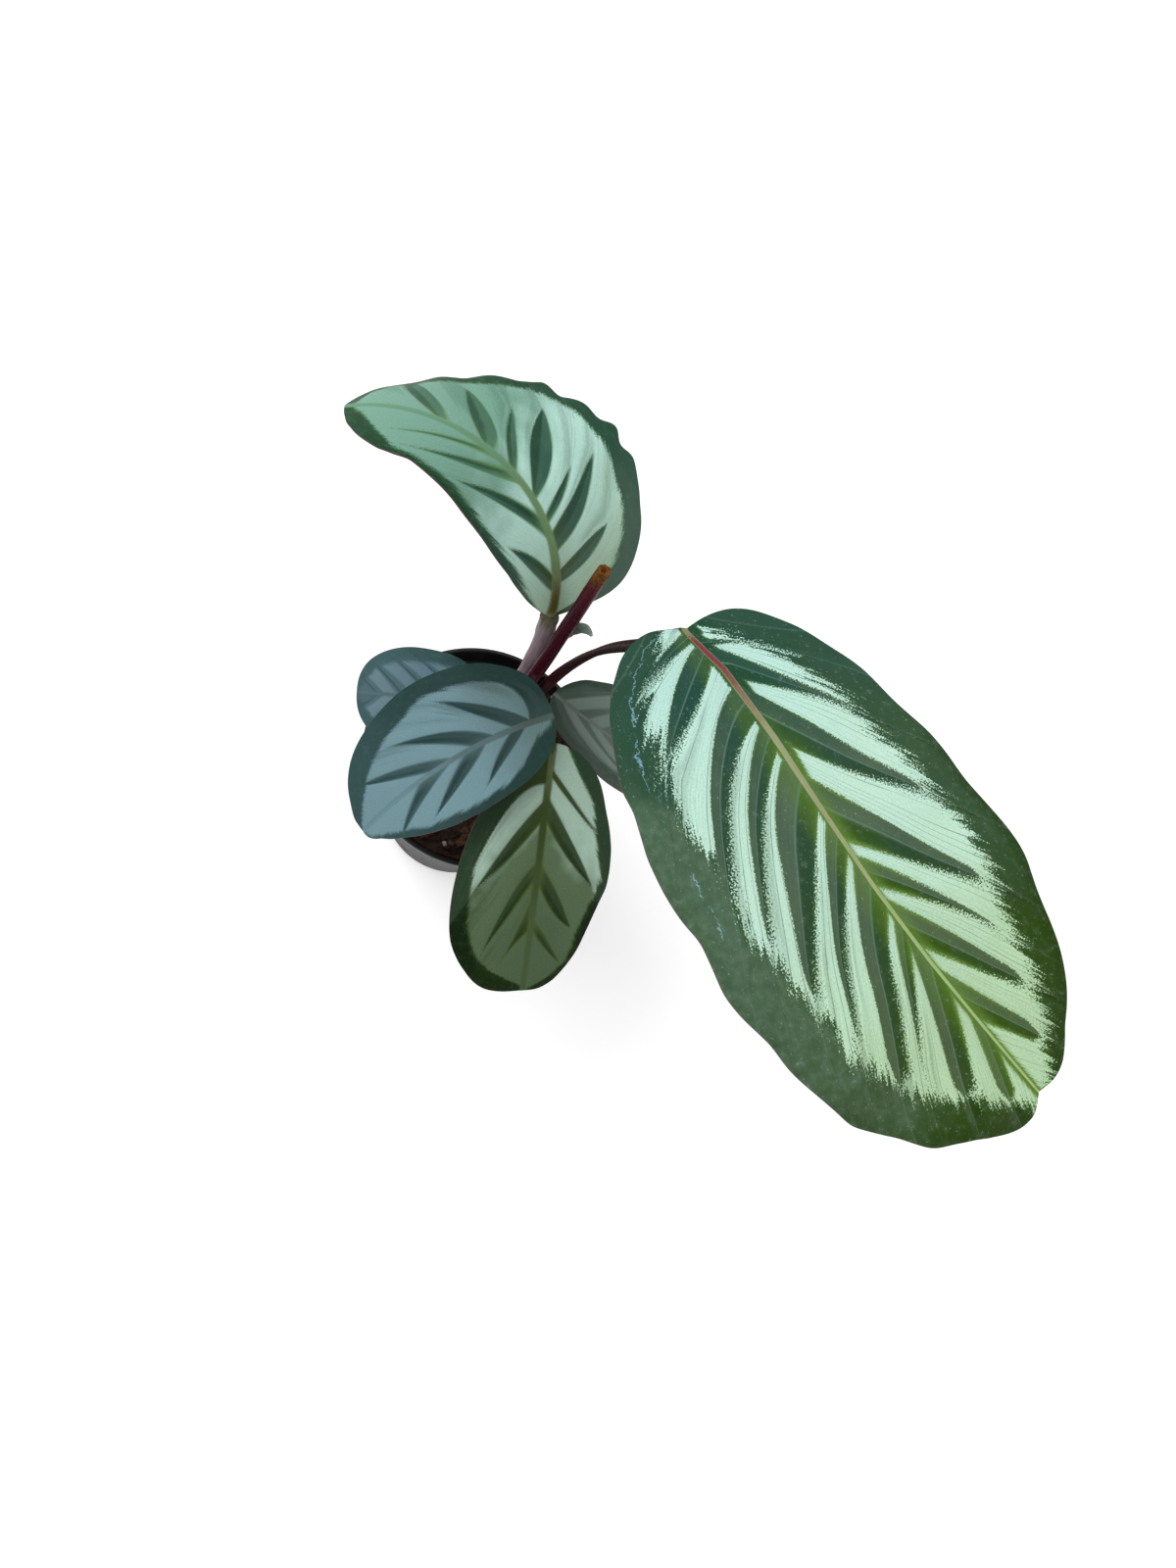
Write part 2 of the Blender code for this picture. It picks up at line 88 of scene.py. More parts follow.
class Link:
    """A shader socket that takes part in Python sums: every operator adds a Math node.

    `node` adds a node of any other kind and gives one of its outputs."""

    def __init__(self, tree, socket=None):
        self.tree = tree
        self.socket = socket

    def node(self, kind, settings=None, inputs=None, output=0):
        made = self.tree.nodes.new("ShaderNode" + kind)
        for name, value in (settings or {}).items():
            setattr(made, name, value)
        for key, value in (inputs or {}).items():
            if isinstance(value, Link):
                self.tree.links.new(value.socket, made.inputs[key])
            else:
                made.inputs[key].default_value = value
        return Link(self.tree, made.outputs[output])

    def maths(self, operation, *values):
        return self.node("Math", {"operation": operation}, dict(enumerate(values)))

    def __add__(self, other):
        return self.maths("ADD", self, other)

    def __sub__(self, other):
        return self.maths("SUBTRACT", self, other)

    def __rsub__(self, other):
        return self.maths("SUBTRACT", other, self)

    def __mul__(self, other):
        return self.maths("MULTIPLY", self, other)

    def __truediv__(self, other):
        return self.maths("DIVIDE", self, other)

    def __pow__(self, other):
        return self.maths("POWER", self, other)

    def __abs__(self):
        return self.maths("ABSOLUTE", self)

    __radd__ = __add__
    __rmul__ = __mul__

    def lesser(self, other):
        return self.maths("MINIMUM", self, other)

    def greater(self, other):
        return self.maths("MAXIMUM", self, other)

    def fraction(self):
        """What is left above the whole number below."""
        return self.maths("FRACT", self)

    def rise(self, low, high):
        """0 below low and 1 above high, with a smooth step between; low may be the larger."""
        if low > high:
            return 1 - self.rise(high, low)
        return self.node("MapRange", {"interpolation_type": "SMOOTHSTEP"},
                         {0: self, 1: low, 2: high, 3: 0.0, 4: 1.0})

    def mix(self, first, second):
        """The first colour where this value is 0 and the second where it is 1."""
        return self.node("Mix", {"data_type": "RGBA"}, {0: self, 6: first, 7: second}, 2)

    def vector(self, x, y, z=0.0):
        return self.node("CombineXYZ", None, {0: x, 1: y, 2: z})

    def noise(self, vector, scale, detail=2.0, roughness=0.5, flat=False):
        return self.node("TexNoise", {"noise_dimensions": "2D" if flat else "3D"},
                         {"Vector": vector, "Scale": scale, "Detail": detail,
                          "Roughness": roughness})

    def bump(self, height, strength, distance):
        return self.node("Bump", None, {"Strength": strength, "Distance": distance,
                                        "Height": height})

    def parts(self):
        """The three numbers of a vector."""
        split = self.node("SeparateXYZ", None, {0: self}).socket.node
        return [Link(self.tree, socket) for socket in split.outputs]

    def told(self, attribute):
        """The three numbers that a piece's mesh holds under a name."""
        return self.node("Attribute", {"attribute_name": attribute}, output=1).parts()


def colour(red, green, blue):
    """A colour written as 0 to 255 on a screen, as the linear light that shaders take."""
    screen = np.array([red, green, blue]) / 255
    light = np.where(screen <= 0.04045, screen / 12.92, ((screen + 0.055) / 1.055) ** 2.4)
    return (*light.tolist(), 1.0)


def new_paint(name, specular=0.5):
    """A new material, its shader, and a Link on its tree to start sums from."""
    material = bpy.data.materials.new(name)
    material.use_nodes = True
    shader = material.node_tree.nodes["Principled BSDF"]
    shader.inputs["Specular IOR Level"].default_value = specular
    return material, shader, Link(material.node_tree)


def feed(shader, **sums):
    """Leads sums to a shader's inputs, whose names are given with _ for each space."""
    for name, value in sums.items():
        value.tree.links.new(value.socket, shader.inputs[name.replace("_", " ")])


def shown_white(tree):
    """1 for rays from the camera, and for those that a gloss or a clear piece sends on."""
    link = Link(tree)
    path = link.node("LightPath").socket.node.outputs
    seen = [Link(tree, path[name]) for name in ("Is Camera Ray", "Is Glossy Ray",
                                                "Is Transmission Ray")]
    return seen[0].greater(seen[1].greater(seen[2]))


world = bpy.data.worlds.new("studio")
bpy.context.scene.world = world
world.use_nodes = True
sky = world.node_tree.nodes["Background"]
sky_level = SKY_LEVEL + (1 - SKY_LEVEL) * shown_white(world.node_tree)
feed(sky, Strength=sky_level)
sky.inputs["Color"].default_value = (1, 1, 1, 1)

half = FLOOR_SIDE / 2
floor_mesh = bpy.data.meshes.new("floor")
floor_mesh.from_pydata([(x, y, -FLOOR_DROP) for x, y in ((-half, -half), (half, -half),
                                                        (half, half), (-half, half))],
                       [], [(0, 1, 2, 3)])
floor = bpy.data.objects.new("floor", floor_mesh)
bpy.context.scene.collection.objects.link(floor)
floor_paint, floor_shader, floor_link = new_paint("pale_floor")
floor_shader.inputs["Base Color"].default_value = FLOOR_COLOUR
floor_shader.inputs["Roughness"].default_value = 0.9
floor_place = floor_link.node("TexCoord", output=3)
away = floor_link.node("VectorMath", {"operation": "LENGTH"}, {0: floor_place}, output=1)
floor_tint = away.rise(*FAR_GLOW_SPAN).mix((1.0, 1.0, 1.0, 1.0), FAR_GLOW)
feed(floor_shader, Emission_Color=floor_tint,
     Emission_Strength=FLOOR_GLOW * shown_white(floor_paint.node_tree))
floor_mesh.materials.append(floor_paint)

# ------------------------------------------------------------------------- the pot
# A thin nursery pot of black polypropylene: a tapered wall, a wider collar under a rolled
# rim, and drain holes through the floor.  Drawn from one sheet over a mould, which leaves
# faint rings on the wall; the holes are punched.
POT_HEIGHT = 0.092
POT_RIM_RADIUS = 0.0550
POT_BASE_RADIUS = 0.038
POT_WALL = 0.0012
POT_FLOOR = 0.0015
COLLAR_HEIGHT = 0.0115
COLLAR_STEP = 0.0020
POT_SEGMENTS = 160
DRAIN_HOLES = 8
DRAIN_RADIUS = 0.004
DRAIN_CIRCLE = 0.027
RING_DEPTH = 0.00012             # the mould rings on the wall
RING_PITCH = 0.0080
HOLE_SIDES = 48
HOLE_TURN = 0.37                 # turns a hole's corners off the floor's own edges, in sides


def make_piece(name, points, faces, finishes, sharp=40.0, face_finish=None):
    """A mesh object of points and faces, smooth except at edges sharper than the angle."""
    mesh = bpy.data.meshes.new(name)
    mesh.from_pydata(np.asarray(points).tolist(), [], [list(face) for face in faces])
    for material in finishes:
        mesh.materials.append(material)
    if face_finish is not None:
        mesh.polygons.foreach_set("material_index", np.asarray(face_finish, np.int32))
    mesh.shade_smooth()
    if sharp:
        mesh.set_sharp_from_angle(angle=math.radians(sharp))
    made = bpy.data.objects.new(name, mesh)
    bpy.context.scene.collection.objects.link(made)
    return made


def grid_faces(rows, columns, first=0, closed=False):
    """Four-sided faces of a grid of points stored row by row; closed joins its sides."""
    row = np.arange(rows - 1)[:, None] * columns
    column = np.arange(columns if closed else columns - 1)[None, :]
    beside = (column + 1) % columns
    corners = [row + column, row + beside, row + columns + beside, row + columns + column]
    return (np.stack(corners, axis=-1).reshape(-1, 4) + first).tolist()


def tube_faces(rings, sides):
    """Faces of a tube of rings of points, closed by one point at each end.  The first end's
    point comes after all the rings, and the last end's after that."""
    faces = grid_faces(rings, sides, closed=True)
    top = (rings - 1) * sides
    faces += [(rings * sides, (i + 1) % sides, i) for i in range(sides)]
    faces += [(rings * sides + 1, top + i, top + (i + 1) % sides) for i in range(sides)]
    return faces


def turned(profile, segments):
    """Points and faces of a profile of (radius, height) turned about the axis.

    Each point is (radius cos a, radius sin a, height); the profile starts and ends on the
    axis, where one point closes the surface."""
    profile = np.asarray(profile)
    angle = 2 * np.pi * np.arange(segments) / segments
    radius, height = profile[1:-1, :1], profile[1:-1, 1:]
    rings = np.stack([radius * np.cos(angle), radius * np.sin(angle),
                      height + 0 * angle], axis=-1)
    points = np.vstack([rings.reshape(-1, 3), [[0, 0, profile[0, 1]], [0, 0, profile[-1, 1]]]])
    return points, tube_faces(len(rings), segments)


def rounded(corners, radii, steps=5):
    """A profile with its corners rounded: each is replaced by the curve whose ends lie the
    radius back along both sides, a quadratic Bezier with the corner as its control."""
    corners = np.asarray(corners, dtype=float)
    t = np.linspace(0, 1, steps)[:, None]
    path = [corners[:1]]
    for before, corner, after, radius in zip(corners, corners[1:], corners[2:], radii):
        back, ahead = before - corner, after - corner
        back = corner + back / np.linalg.norm(back) * radius
        ahead = corner + ahead / np.linalg.norm(ahead) * radius
        path.append((1 - t) ** 2 * back + 2 * t * (1 - t) * corner + t * t * ahead)
    return np.vstack([*path, corners[-1:]])


def wall_radius(height):
    """Outer radius of the pot's tapered wall."""
    top = POT_HEIGHT - COLLAR_HEIGHT
    top_radius = POT_RIM_RADIUS - COLLAR_STEP - 0.0015
    return POT_BASE_RADIUS + (top_radius - POT_BASE_RADIUS) * height / top


def pot_profile():
    """The pot's section, from the middle of the underside out, up, over the rim and back."""
    step = POT_HEIGHT - COLLAR_HEIGHT
    top = wall_radius(step)
    wall = POT_WALL
    corners = [
        (0.0, 0.0012), (0.0180, 0.0012), (0.0195, 0.0), (POT_BASE_RADIUS, 0.0), (top, step),
        (top + COLLAR_STEP, step + 0.0012), (POT_RIM_RADIUS - 0.0003, POT_HEIGHT - 0.0019),
        (POT_RIM_RADIUS, POT_HEIGHT - 0.0016), (POT_RIM_RADIUS, POT_HEIGHT),
        (POT_RIM_RADIUS - 0.0020, POT_HEIGHT), (POT_RIM_RADIUS - 0.0021, POT_HEIGHT - 0.0016),
        (top + COLLAR_STEP - wall, step + 0.0014), (wall_radius(step - wall) - wall, step - wall),
        (wall_radius(POT_FLOOR) - wall, POT_FLOOR), (0.0200, POT_FLOOR),
        (0.0185, POT_FLOOR + 0.0012), (0.0, POT_FLOOR + 0.0012),
    ]
    radii = (0.0005, 0.0005, 0.0012, 0.0006, 0.0006, 0.0001, 0.0001, 0.0008, 0.0008, 0.0004,
             0.0006, 0.0006, 0.0014, 0.0005, 0.0005)
    return rounded(corners, radii)


def with_rings(profile):
    """The profile with points added along the outer wall, which swells in faint rings."""
    height = np.linspace(0.004, POT_HEIGHT - COLLAR_HEIGHT - 0.003, 73)
    swell = RING_DEPTH * np.cos(2 * np.pi * height / RING_PITCH)
    wall = np.stack([wall_radius(height) + swell, height], axis=1)
    at = next(i for i in range(len(profile)) if profile[i, 1] > 0.004)
    return np.vstack([profile[:at], wall, profile[at:]])


def punch_holes(pot):
    """Cuts the ring of round drain holes through the pot's floor."""
    angle = 2 * np.pi * (np.arange(HOLE_SIDES) + HOLE_TURN) / HOLE_SIDES
    points, faces = [], []
    for number in range(DRAIN_HOLES):
        turn = 2 * np.pi * number / DRAIN_HOLES
        first = len(points)
        for height in (-0.003, 0.006):
            points += [(DRAIN_CIRCLE * math.cos(turn) + DRAIN_RADIUS * math.cos(a),
                        DRAIN_CIRCLE * math.sin(turn) + DRAIN_RADIUS * math.sin(a), height)
                       for a in angle]
        faces += grid_faces(2, HOLE_SIDES, first, closed=True)
        middle, last = first + HOLE_SIDES, first + 2 * HOLE_SIDES
        faces += [list(range(middle - 1, first - 1, -1)), list(range(middle, last))]
    punch = make_piece("punch", points, faces, [])
    cut = pot.modifiers.new("punch", "BOOLEAN")
    cut.object = punch
    cut.solver = "EXACT"
    bpy.context.view_layer.update()
    shape = pot.evaluated_get(bpy.context.evaluated_depsgraph_get())
    old = pot.data
    pot.data = bpy.data.meshes.new_from_object(shape)
    pot.modifiers.clear()
    bpy.data.meshes.remove(old)
    bpy.data.meshes.remove(punch.data)


def black_plastic():
    """Satin black plastic: cloudy sheen, dust that lies in streaks, fine scuffs on the rim."""
    material, shader, link = new_paint("black_plastic", 0.25)
    place = link.node("TexCoord", output=3)
    x, y, z = place.parts()
    clouds = link.noise(place, 60.0, 4.0)
    streak = link.noise(link.vector(x * 220.0, y * 220.0, z * 14.0), 1.0, 3.0)
    grain = link.noise(place, 1400.0, 2.0)
    dust = (streak * clouds * 4).rise(1.05, 1.7) * 0.22 + z.rise(0.012, 0.0) * 0.12
    scuff = link.noise(link.vector(x * 90.0, y * 90.0, z * 900.0), 1.0, 2.0).rise(0.62, 0.72)
    scuff = scuff * z.rise(POT_HEIGHT - 0.012, POT_HEIGHT) * 0.35
    feed(shader, Base_Color=(dust + scuff).mix(colour(9, 12, 13), colour(54, 54, 51)),
         Roughness=0.40 + clouds * 0.14 + (dust + scuff) * 0.6,
         Normal=link.bump(grain * 0.4 + clouds, 0.25, 0.0004))
    return material


pot = make_piece("nursery_pot", *turned(with_rings(pot_profile()), POT_SEGMENTS),
                 [black_plastic()], sharp=None)
punch_holes(pot)
pot.data.set_sharp_from_angle(angle=math.radians(50))
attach(pot, "root")
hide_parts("pot")

# ------------------------------------------------------------------- the potting mix
# A plug of dark peat that fills the pot to just under its collar, its top loose and uneven
# round the rhizome, with scattered bark chips and a few grains of perlite worked in.
SOIL_EDGE_HEIGHT = 0.0775
SOIL_TOP_HEIGHT = 0.0805
SOIL_SIDE_GAP = 0.00165          # from the pot's outer face to the plug
DISH_RADIUS = 0.0136             # the hollow that the rhizome sits in
DISH_FLOOR = 0.0737
SOIL_MOUTH = wall_radius(SOIL_EDGE_HEIGHT) - SOIL_SIDE_GAP - 0.0006
SOIL_SEGMENTS = 220
CRUMB_RISE = 0.0011              # how far the loose top goes up and down
BARK_CHIPS = 150
CRUMBS = 420
PERLITE_GRAINS = 26
SCATTER_REACH = (0.0155, 0.0450)  # nearest and farthest lumps from the axis


def ripple(x, y, z, size, seed):
    """Smooth noise between about -1 and 1: seven sine waves of near lengths in seeded
    directions, each with its own phase, added up."""
    draw = np.random.default_rng(seed)
    total = 0.0
    for _ in range(7):
        way = draw.normal(size=3)
        way = way / np.linalg.norm(way) * 2 * np.pi / (size * draw.uniform(0.7, 1.5))
        total = total + np.sin(x * way[0] + y * way[1] + z * way[2] + draw.uniform(0, 6.28))
    return total / 3.2


def soil_dome(reach):
    """Height of the smooth top at a distance from the axis: it falls from the hollow to the
    mouth with the 3/2 power of the way out."""
    share = np.clip((reach - DISH_RADIUS) / (SOIL_MOUTH - DISH_RADIUS), 0, 1)
    return SOIL_TOP_HEIGHT + (SOIL_EDGE_HEIGHT - SOIL_TOP_HEIGHT) * share ** 1.5


def soil_rough(x, y):
    """Noise of two sizes, between about -1 and 1, by which the top goes up and down."""
    return 0.6 * ripple(x, y, 0 * x, 0.009, 3) + 0.4 * ripple(x, y, 0 * x, 0.0028, 4)


def soil_surface():
    """The plug: a turned profile whose upper rings are lifted by noise."""
    outer = np.linspace(SOIL_MOUTH, DISH_RADIUS, 60)
    low = [(0.0, 0.0029), (0.0150, 0.0029), (0.0220, 0.0019),
           (wall_radius(0.004) - SOIL_SIDE_GAP - 0.0020, 0.0019),
           (wall_radius(0.005) - SOIL_SIDE_GAP, 0.0050),
           (wall_radius(0.040) - SOIL_SIDE_GAP, 0.0400),
           (wall_radius(SOIL_EDGE_HEIGHT) - SOIL_SIDE_GAP, SOIL_EDGE_HEIGHT - 0.0012)]
    profile = [*low, *np.stack([outer, soil_dome(outer)], axis=1),
               (DISH_RADIUS - 0.0003, SOIL_TOP_HEIGHT - 0.0020), (DISH_RADIUS - 0.0005, 0.0762),
               (DISH_RADIUS - 0.0030, DISH_FLOOR), (0.0, DISH_FLOOR)]
    points, faces = turned(profile, SOIL_SEGMENTS)
    x, y, z = points.T
    reach = np.hypot(x, y)
    loose = (z > SOIL_EDGE_HEIGHT - 0.0005) * np.clip((reach - DISH_RADIUS) / 0.003, 0, 1)
    points[:, 2] += CRUMB_RISE * loose * soil_rough(x, y)
    return points, faces


def soil_height(x, y):
    """Height of the loose top under any place."""
    return soil_dome(np.hypot(x, y)) + CRUMB_RISE * soil_rough(x, y)


def scattered(count, low, high, flatness, seed):
    """Many small angular lumps on the potting mix, as one mesh.

    Each is a cube's 26 surface points pushed out by its own seeded noise, stretched to its
    three sizes, turned at random and set down on the surface; all are made at once."""
    draw = np.random.default_rng(seed)
    steps = np.array([(i, j, k) for i in (-1, 0, 1) for j in (-1, 0, 1) for k in (-1, 0, 1)
                      if max(abs(i), abs(j), abs(k)) == 1], dtype=float)
    index = {tuple(step): number for number, step in enumerate(steps.astype(int))}
    faces = []
    for axis in range(3):
        for side in (-1, 1):
            for a in (-1, 0):
                for b in (-1, 0):
                    square = []
                    for u, v in ((a, b), (a + 1, b), (a + 1, b + 1), (a, b + 1)):
                        corner = [0, 0, 0]
                        corner[axis] = side
                        corner[(axis + 1) % 3], corner[(axis + 2) % 3] = u, v
                        square.append(index[tuple(corner)])
                    faces.append(square if side > 0 else square[::-1])
    round_off = steps / np.linalg.norm(steps, axis=1)[:, None] ** 0.6
    shape = round_off[None] * draw.uniform(0.75, 1.15, (count, len(steps), 1))
    size = draw.uniform(low, high, (count, 1, 3)) / 2
    size[:, :, 2] *= flatness
    size[:, :, 0] *= draw.uniform(1.0, 1.7, (count, 1))
    shape = shape * size
    spin = draw.uniform(0, 2 * np.pi, count)[:, None]
    tip = draw.normal(0, 0.45, count)[:, None]
    x, y, z = shape[..., 0], shape[..., 1], shape[..., 2]
    y, z = y * np.cos(tip) - z * np.sin(tip), y * np.sin(tip) + z * np.cos(tip)
    x, y = x * np.cos(spin) - y * np.sin(spin), x * np.sin(spin) + y * np.cos(spin)
    reach = np.sqrt(draw.uniform(SCATTER_REACH[0] ** 2, SCATTER_REACH[1] ** 2, count))
    bearing = draw.uniform(0, 2 * np.pi, count)
    at_x, at_y = reach * np.cos(bearing), reach * np.sin(bearing)
    at_z = soil_height(at_x, at_y) + 0.25 * size[:, 0, 2]
    points = np.stack([x + at_x[:, None], y + at_y[:, None], z + at_z[:, None]], axis=-1)
    one = np.array(faces)
    every = (one[None] + len(steps) * np.arange(count)[:, None, None]).reshape(-1, 4)
    return points.reshape(-1, 3), every


def earth(name, dark, light, scale, roughness, depth):
    """A dry crumbly surface: two tones mixed by coarse and fine noise, and rough relief."""
    material, shader, link = new_paint(name, 0.2)
    place = link.node("TexCoord", output=3)
    coarse = link.noise(place, scale, 5.0, 0.65)
    fine = link.noise(place, scale * 7, 3.0, 0.6)
    tone = (coarse * 0.6 + fine * 0.5).rise(0.38, 0.72).mix(colour(*dark), colour(*light))
    feed(shader, Base_Color=tone, Roughness=roughness + fine * 0.12,
         Normal=link.bump(coarse + fine * 0.5, 0.8, depth))
    return material


soil = make_piece("potting_mix", *soil_surface(),
                  [earth("peat", (17, 12, 9), (58, 44, 33), 260.0, 0.86, 0.0006)], sharp=None)
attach(soil, "root")
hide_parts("soil")

for loose_name, count, low, high, flatness, seed, dark, light in (
        ("bark_chips", BARK_CHIPS, 0.0022, 0.0060, 0.45, 21, (40, 25, 17), (96, 66, 44)),
        ("peat_crumbs", CRUMBS, 0.0009, 0.0024, 0.9, 22, (22, 15, 11), (52, 38, 28)),
        ("perlite_grains", PERLITE_GRAINS, 0.0014, 0.0028, 0.9, 23, (150, 144, 132), (214, 209, 198))):
    loose = make_piece(loose_name, *scattered(count, low, high, flatness, seed),
                       [earth(loose_name, dark, light, 700.0, 0.8, 0.0002)], sharp=35.0)
    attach(loose, "root")

# ------------------------------------------------------------ the rhizome and its roots
# The short thick stem at soil level that all the stalks grow from: brown and knobbly,
# wrapped in the dried scales of old leaves.  Its roots run out and down into the mix.
RHIZOME_RADIUS = 0.013
RHIZOME_BOTTOM = 0.0740
RHIZOME_TOP = 0.0830
ROOTS = 5


def rhizome_surface():
    """A low turned knob whose radius and height swell and sink with noise, with overlapping
    scales: a small saw-tooth step in the radius that circles round it as it climbs."""
    place = np.linspace(0, 1, 34)
    radius = RHIZOME_RADIUS * np.clip(1 - (2 * place - 1) ** 6, 0, 1) ** 0.5
    radius = np.where(place > 0.5, np.maximum(radius, RHIZOME_RADIUS * (1 - place) * 3.2), radius)
    height = RHIZOME_BOTTOM + (RHIZOME_TOP - RHIZOME_BOTTOM) * (0.5 - 0.5 * np.cos(np.pi * place))
    profile = np.stack([radius, height], axis=1)
    profile[[0, -1], 0] = 0
    points, faces = turned(profile, 120)
    x, y, z = points.T
    bearing = np.arctan2(y, x)
    climb = (z - RHIZOME_BOTTOM) / 0.0024 + bearing / (2 * np.pi) * 2
    scale = (climb - np.floor(climb)) * 0.00045
    swell = 0.0005 * ripple(x, y, z, 0.007, 8) + scale
    reach = np.maximum(np.hypot(x, y), 1e-9)
    points[:, 0] += x / reach * swell * (reach > 0.001)
    points[:, 1] += y / reach * swell * (reach > 0.001)
    points[:, 2] -= 0.0004 + 0.0003 * ripple(x, y, z, 0.005, 9)
    return points, faces


rhizome = make_piece("rhizome_knob", *rhizome_surface(),
                     [earth("rhizome_bark", (48, 24, 18), (132, 92, 62), 300.0, 0.62, 0.0004)],
                     sharp=60.0)
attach(rhizome, "root")
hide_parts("rhizome")

root_skin = earth("root_skin", (120, 92, 62), (196, 170, 128), 500.0, 0.7, 0.0002)
for number in range(ROOTS):
    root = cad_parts[f"root_{number + 1}"]
    root.data.materials.clear()
    root.data.materials.append(root_skin)

# ------------------------------------------------------------------------ the stalks
# Fleshy maroon leaf stalks.  Each clasps the rhizome with a sheath that has an open seam,
# runs up slim and finely ribbed, and ends in a swollen joint that turns the blade.
STALK_BASE_RADIUS = 0.0028
STALK_BEND = 0.005
STALK_REACH = 0.0006             # how far the joint runs on, into the blade's underside
RIB_THICKNESS = 0.0021
UPRIGHT = 60                     # degrees of rise from which a blade stands on its stalk
GAP = 0.0003
ELBOW_REACH = 0.012              # how far the joint runs on under the midrib
ELBOW_BEND = 0.0025              # how far it keeps straight on before it turns
ELBOW_DEPTH = 0.9                # where it ends below the midrib, in rib thicknesses
ELBOW_TIP = 0.25                 # its last radius, as a share of the stalk's
ELBOW_RINGS = 14
STALK_SIDES = 32
STALK_RINGS = 150
FOOT_SINK = 0.0008               # how far a foot goes down into the rhizome's bark

# One row for each leaf.  base: where the stalk meets the blade.  length: along the midrib.
# width: midrib to margin, left and right of the way the leaf points.  rise: degrees above
# level at the base, middle and tip.  heading: degrees from +X towards +Y at base and tip.
# roll: turn about the midrib at the base and tip.  fold, cup: how much the halves lift at
# the midrib, and how much more at the margin.  round_base, round_tip: exponents of the
# outline, smaller for a blunter end.  lobe: how far each half reaches behind the stalk.
# root: the stalk's foot on the rhizome.  via: the stalk's guide points.  waist, radius: the
# stalk's radius at its slimmest and above that.
LEAVES = {
    "right": dict(
        base=(0.0250, -0.0310, 0.3128), length=0.160, width=(0.0415, 0.0550),
        rise=(17.5, 1.0, -9.5), heading=(-62.5, -44.5), roll=(-6, 5.5), fold=11.5, cup=-0.22,
        round_base=(0.45, 0.46), round_tip=(0.47, 0.44), lobe=(0.117, 0.150),
        root=(0.0055, 0.0045), via=((0.009, 0.004, 0.150), (0.0175, 0.0055, 0.240),
                                    (0.0135, -0.018, 0.268), (0.0205, -0.0315, 0.296)),
        waist=0.0014, radius=0.0021),
    "back": dict(
        base=(0.0040, 0.0095, 0.2270), length=0.127, width=(0.0265, 0.0510),
        rise=(86, 39.5, -22.5), heading=(120, 183), roll=(-17, 37), fold=-8.5, cup=0.0,
        round_base=(0.65, 0.41), round_tip=(0.36, 0.63), lobe=(-0.064, -0.076),
        root=(-0.0005, 0.0078), via=((0.0045, 0.0105, 0.130), (0.0105, 0.0115, 0.185)),
        waist=0.0036, radius=0.0036),
    "front": dict(
        base=(0.0154, -0.0230, 0.1832), length=0.1035, width=(0.0300, 0.0325),
        rise=(-7.5, -24, -43.5), heading=(-95, -88), roll=(-7, -3), fold=-2.5, cup=-0.18,
        round_base=(0.39, 0.58), round_tip=(0.48, 0.31), lobe=(-0.018, -0.039),
        root=(-0.0020, -0.0080), via=((-0.001, -0.010, 0.120), (0.010, -0.019, 0.160)),
        waist=0.0018, radius=0.0018),
    "left": dict(
        base=(0.0134, -0.0149, 0.1916), length=0.090, width=(0.0240, 0.0350),
        rise=(-1.5, -21, -46), heading=(200.5, 225), roll=(-3.5, 21.5), fold=2.0, cup=0.0,
        round_base=(0.43, 0.43), round_tip=(0.48, 0.43), lobe=(-0.012, 0.045),
        root=(0.0045, -0.0078), via=((0.006, -0.008, 0.130), (0.015, -0.010, 0.170)),
        waist=0.0018, radius=0.0018),
    "low_right": dict(
        base=(0.0188, 0.0040, 0.1675), length=0.078, width=(0.0290, 0.0305),
        rise=(-6.5, -25, -44.5), heading=(-34, -4), roll=(-23.5, -26), fold=9.0, cup=-0.04,
        round_base=(0.51, 0.44), round_tip=(0.39, 0.41), lobe=(-0.014, 0.0),
        root=(0.0088, -0.0020), via=((0.0112, -0.003, 0.115), (0.0175, 0.003, 0.148)),
        waist=0.0017, radius=0.0017),
    "low_left": dict(
        base=(-0.0040, 0.0040, 0.1460), length=0.057, width=(0.0260, 0.0245),
        rise=(8, 3, -2), heading=(180, 180), roll=(6, 6), fold=3.5, cup=-0.12,
        round_base=(0.45, 0.44), round_tip=(0.44, 0.40), lobe=(0.0, 0.0),
        root=(-0.0065, 0.0025), via=((-0.007, 0.0025, 0.105), (-0.003, 0.0030, 0.130)),
        waist=0.0016, radius=0.0016),
}
# The tones of each stalk from its foot up to its joint.
STALK_TONES = {
    "right": ((60, 12, 26), (34, 12, 12), (40, 14, 14)),
    "back": ((104, 20, 60), (160, 142, 150), (116, 114, 98)),
    "front": ((62, 16, 32), (52, 22, 28), (74, 66, 42)),
    "left": ((70, 16, 36), (52, 20, 28), (66, 58, 48)),
    "low_right": ((64, 16, 34), (50, 22, 28), (72, 60, 44)),
    "low_left": ((60, 16, 34), (48, 22, 30), (60, 60, 50)),
}


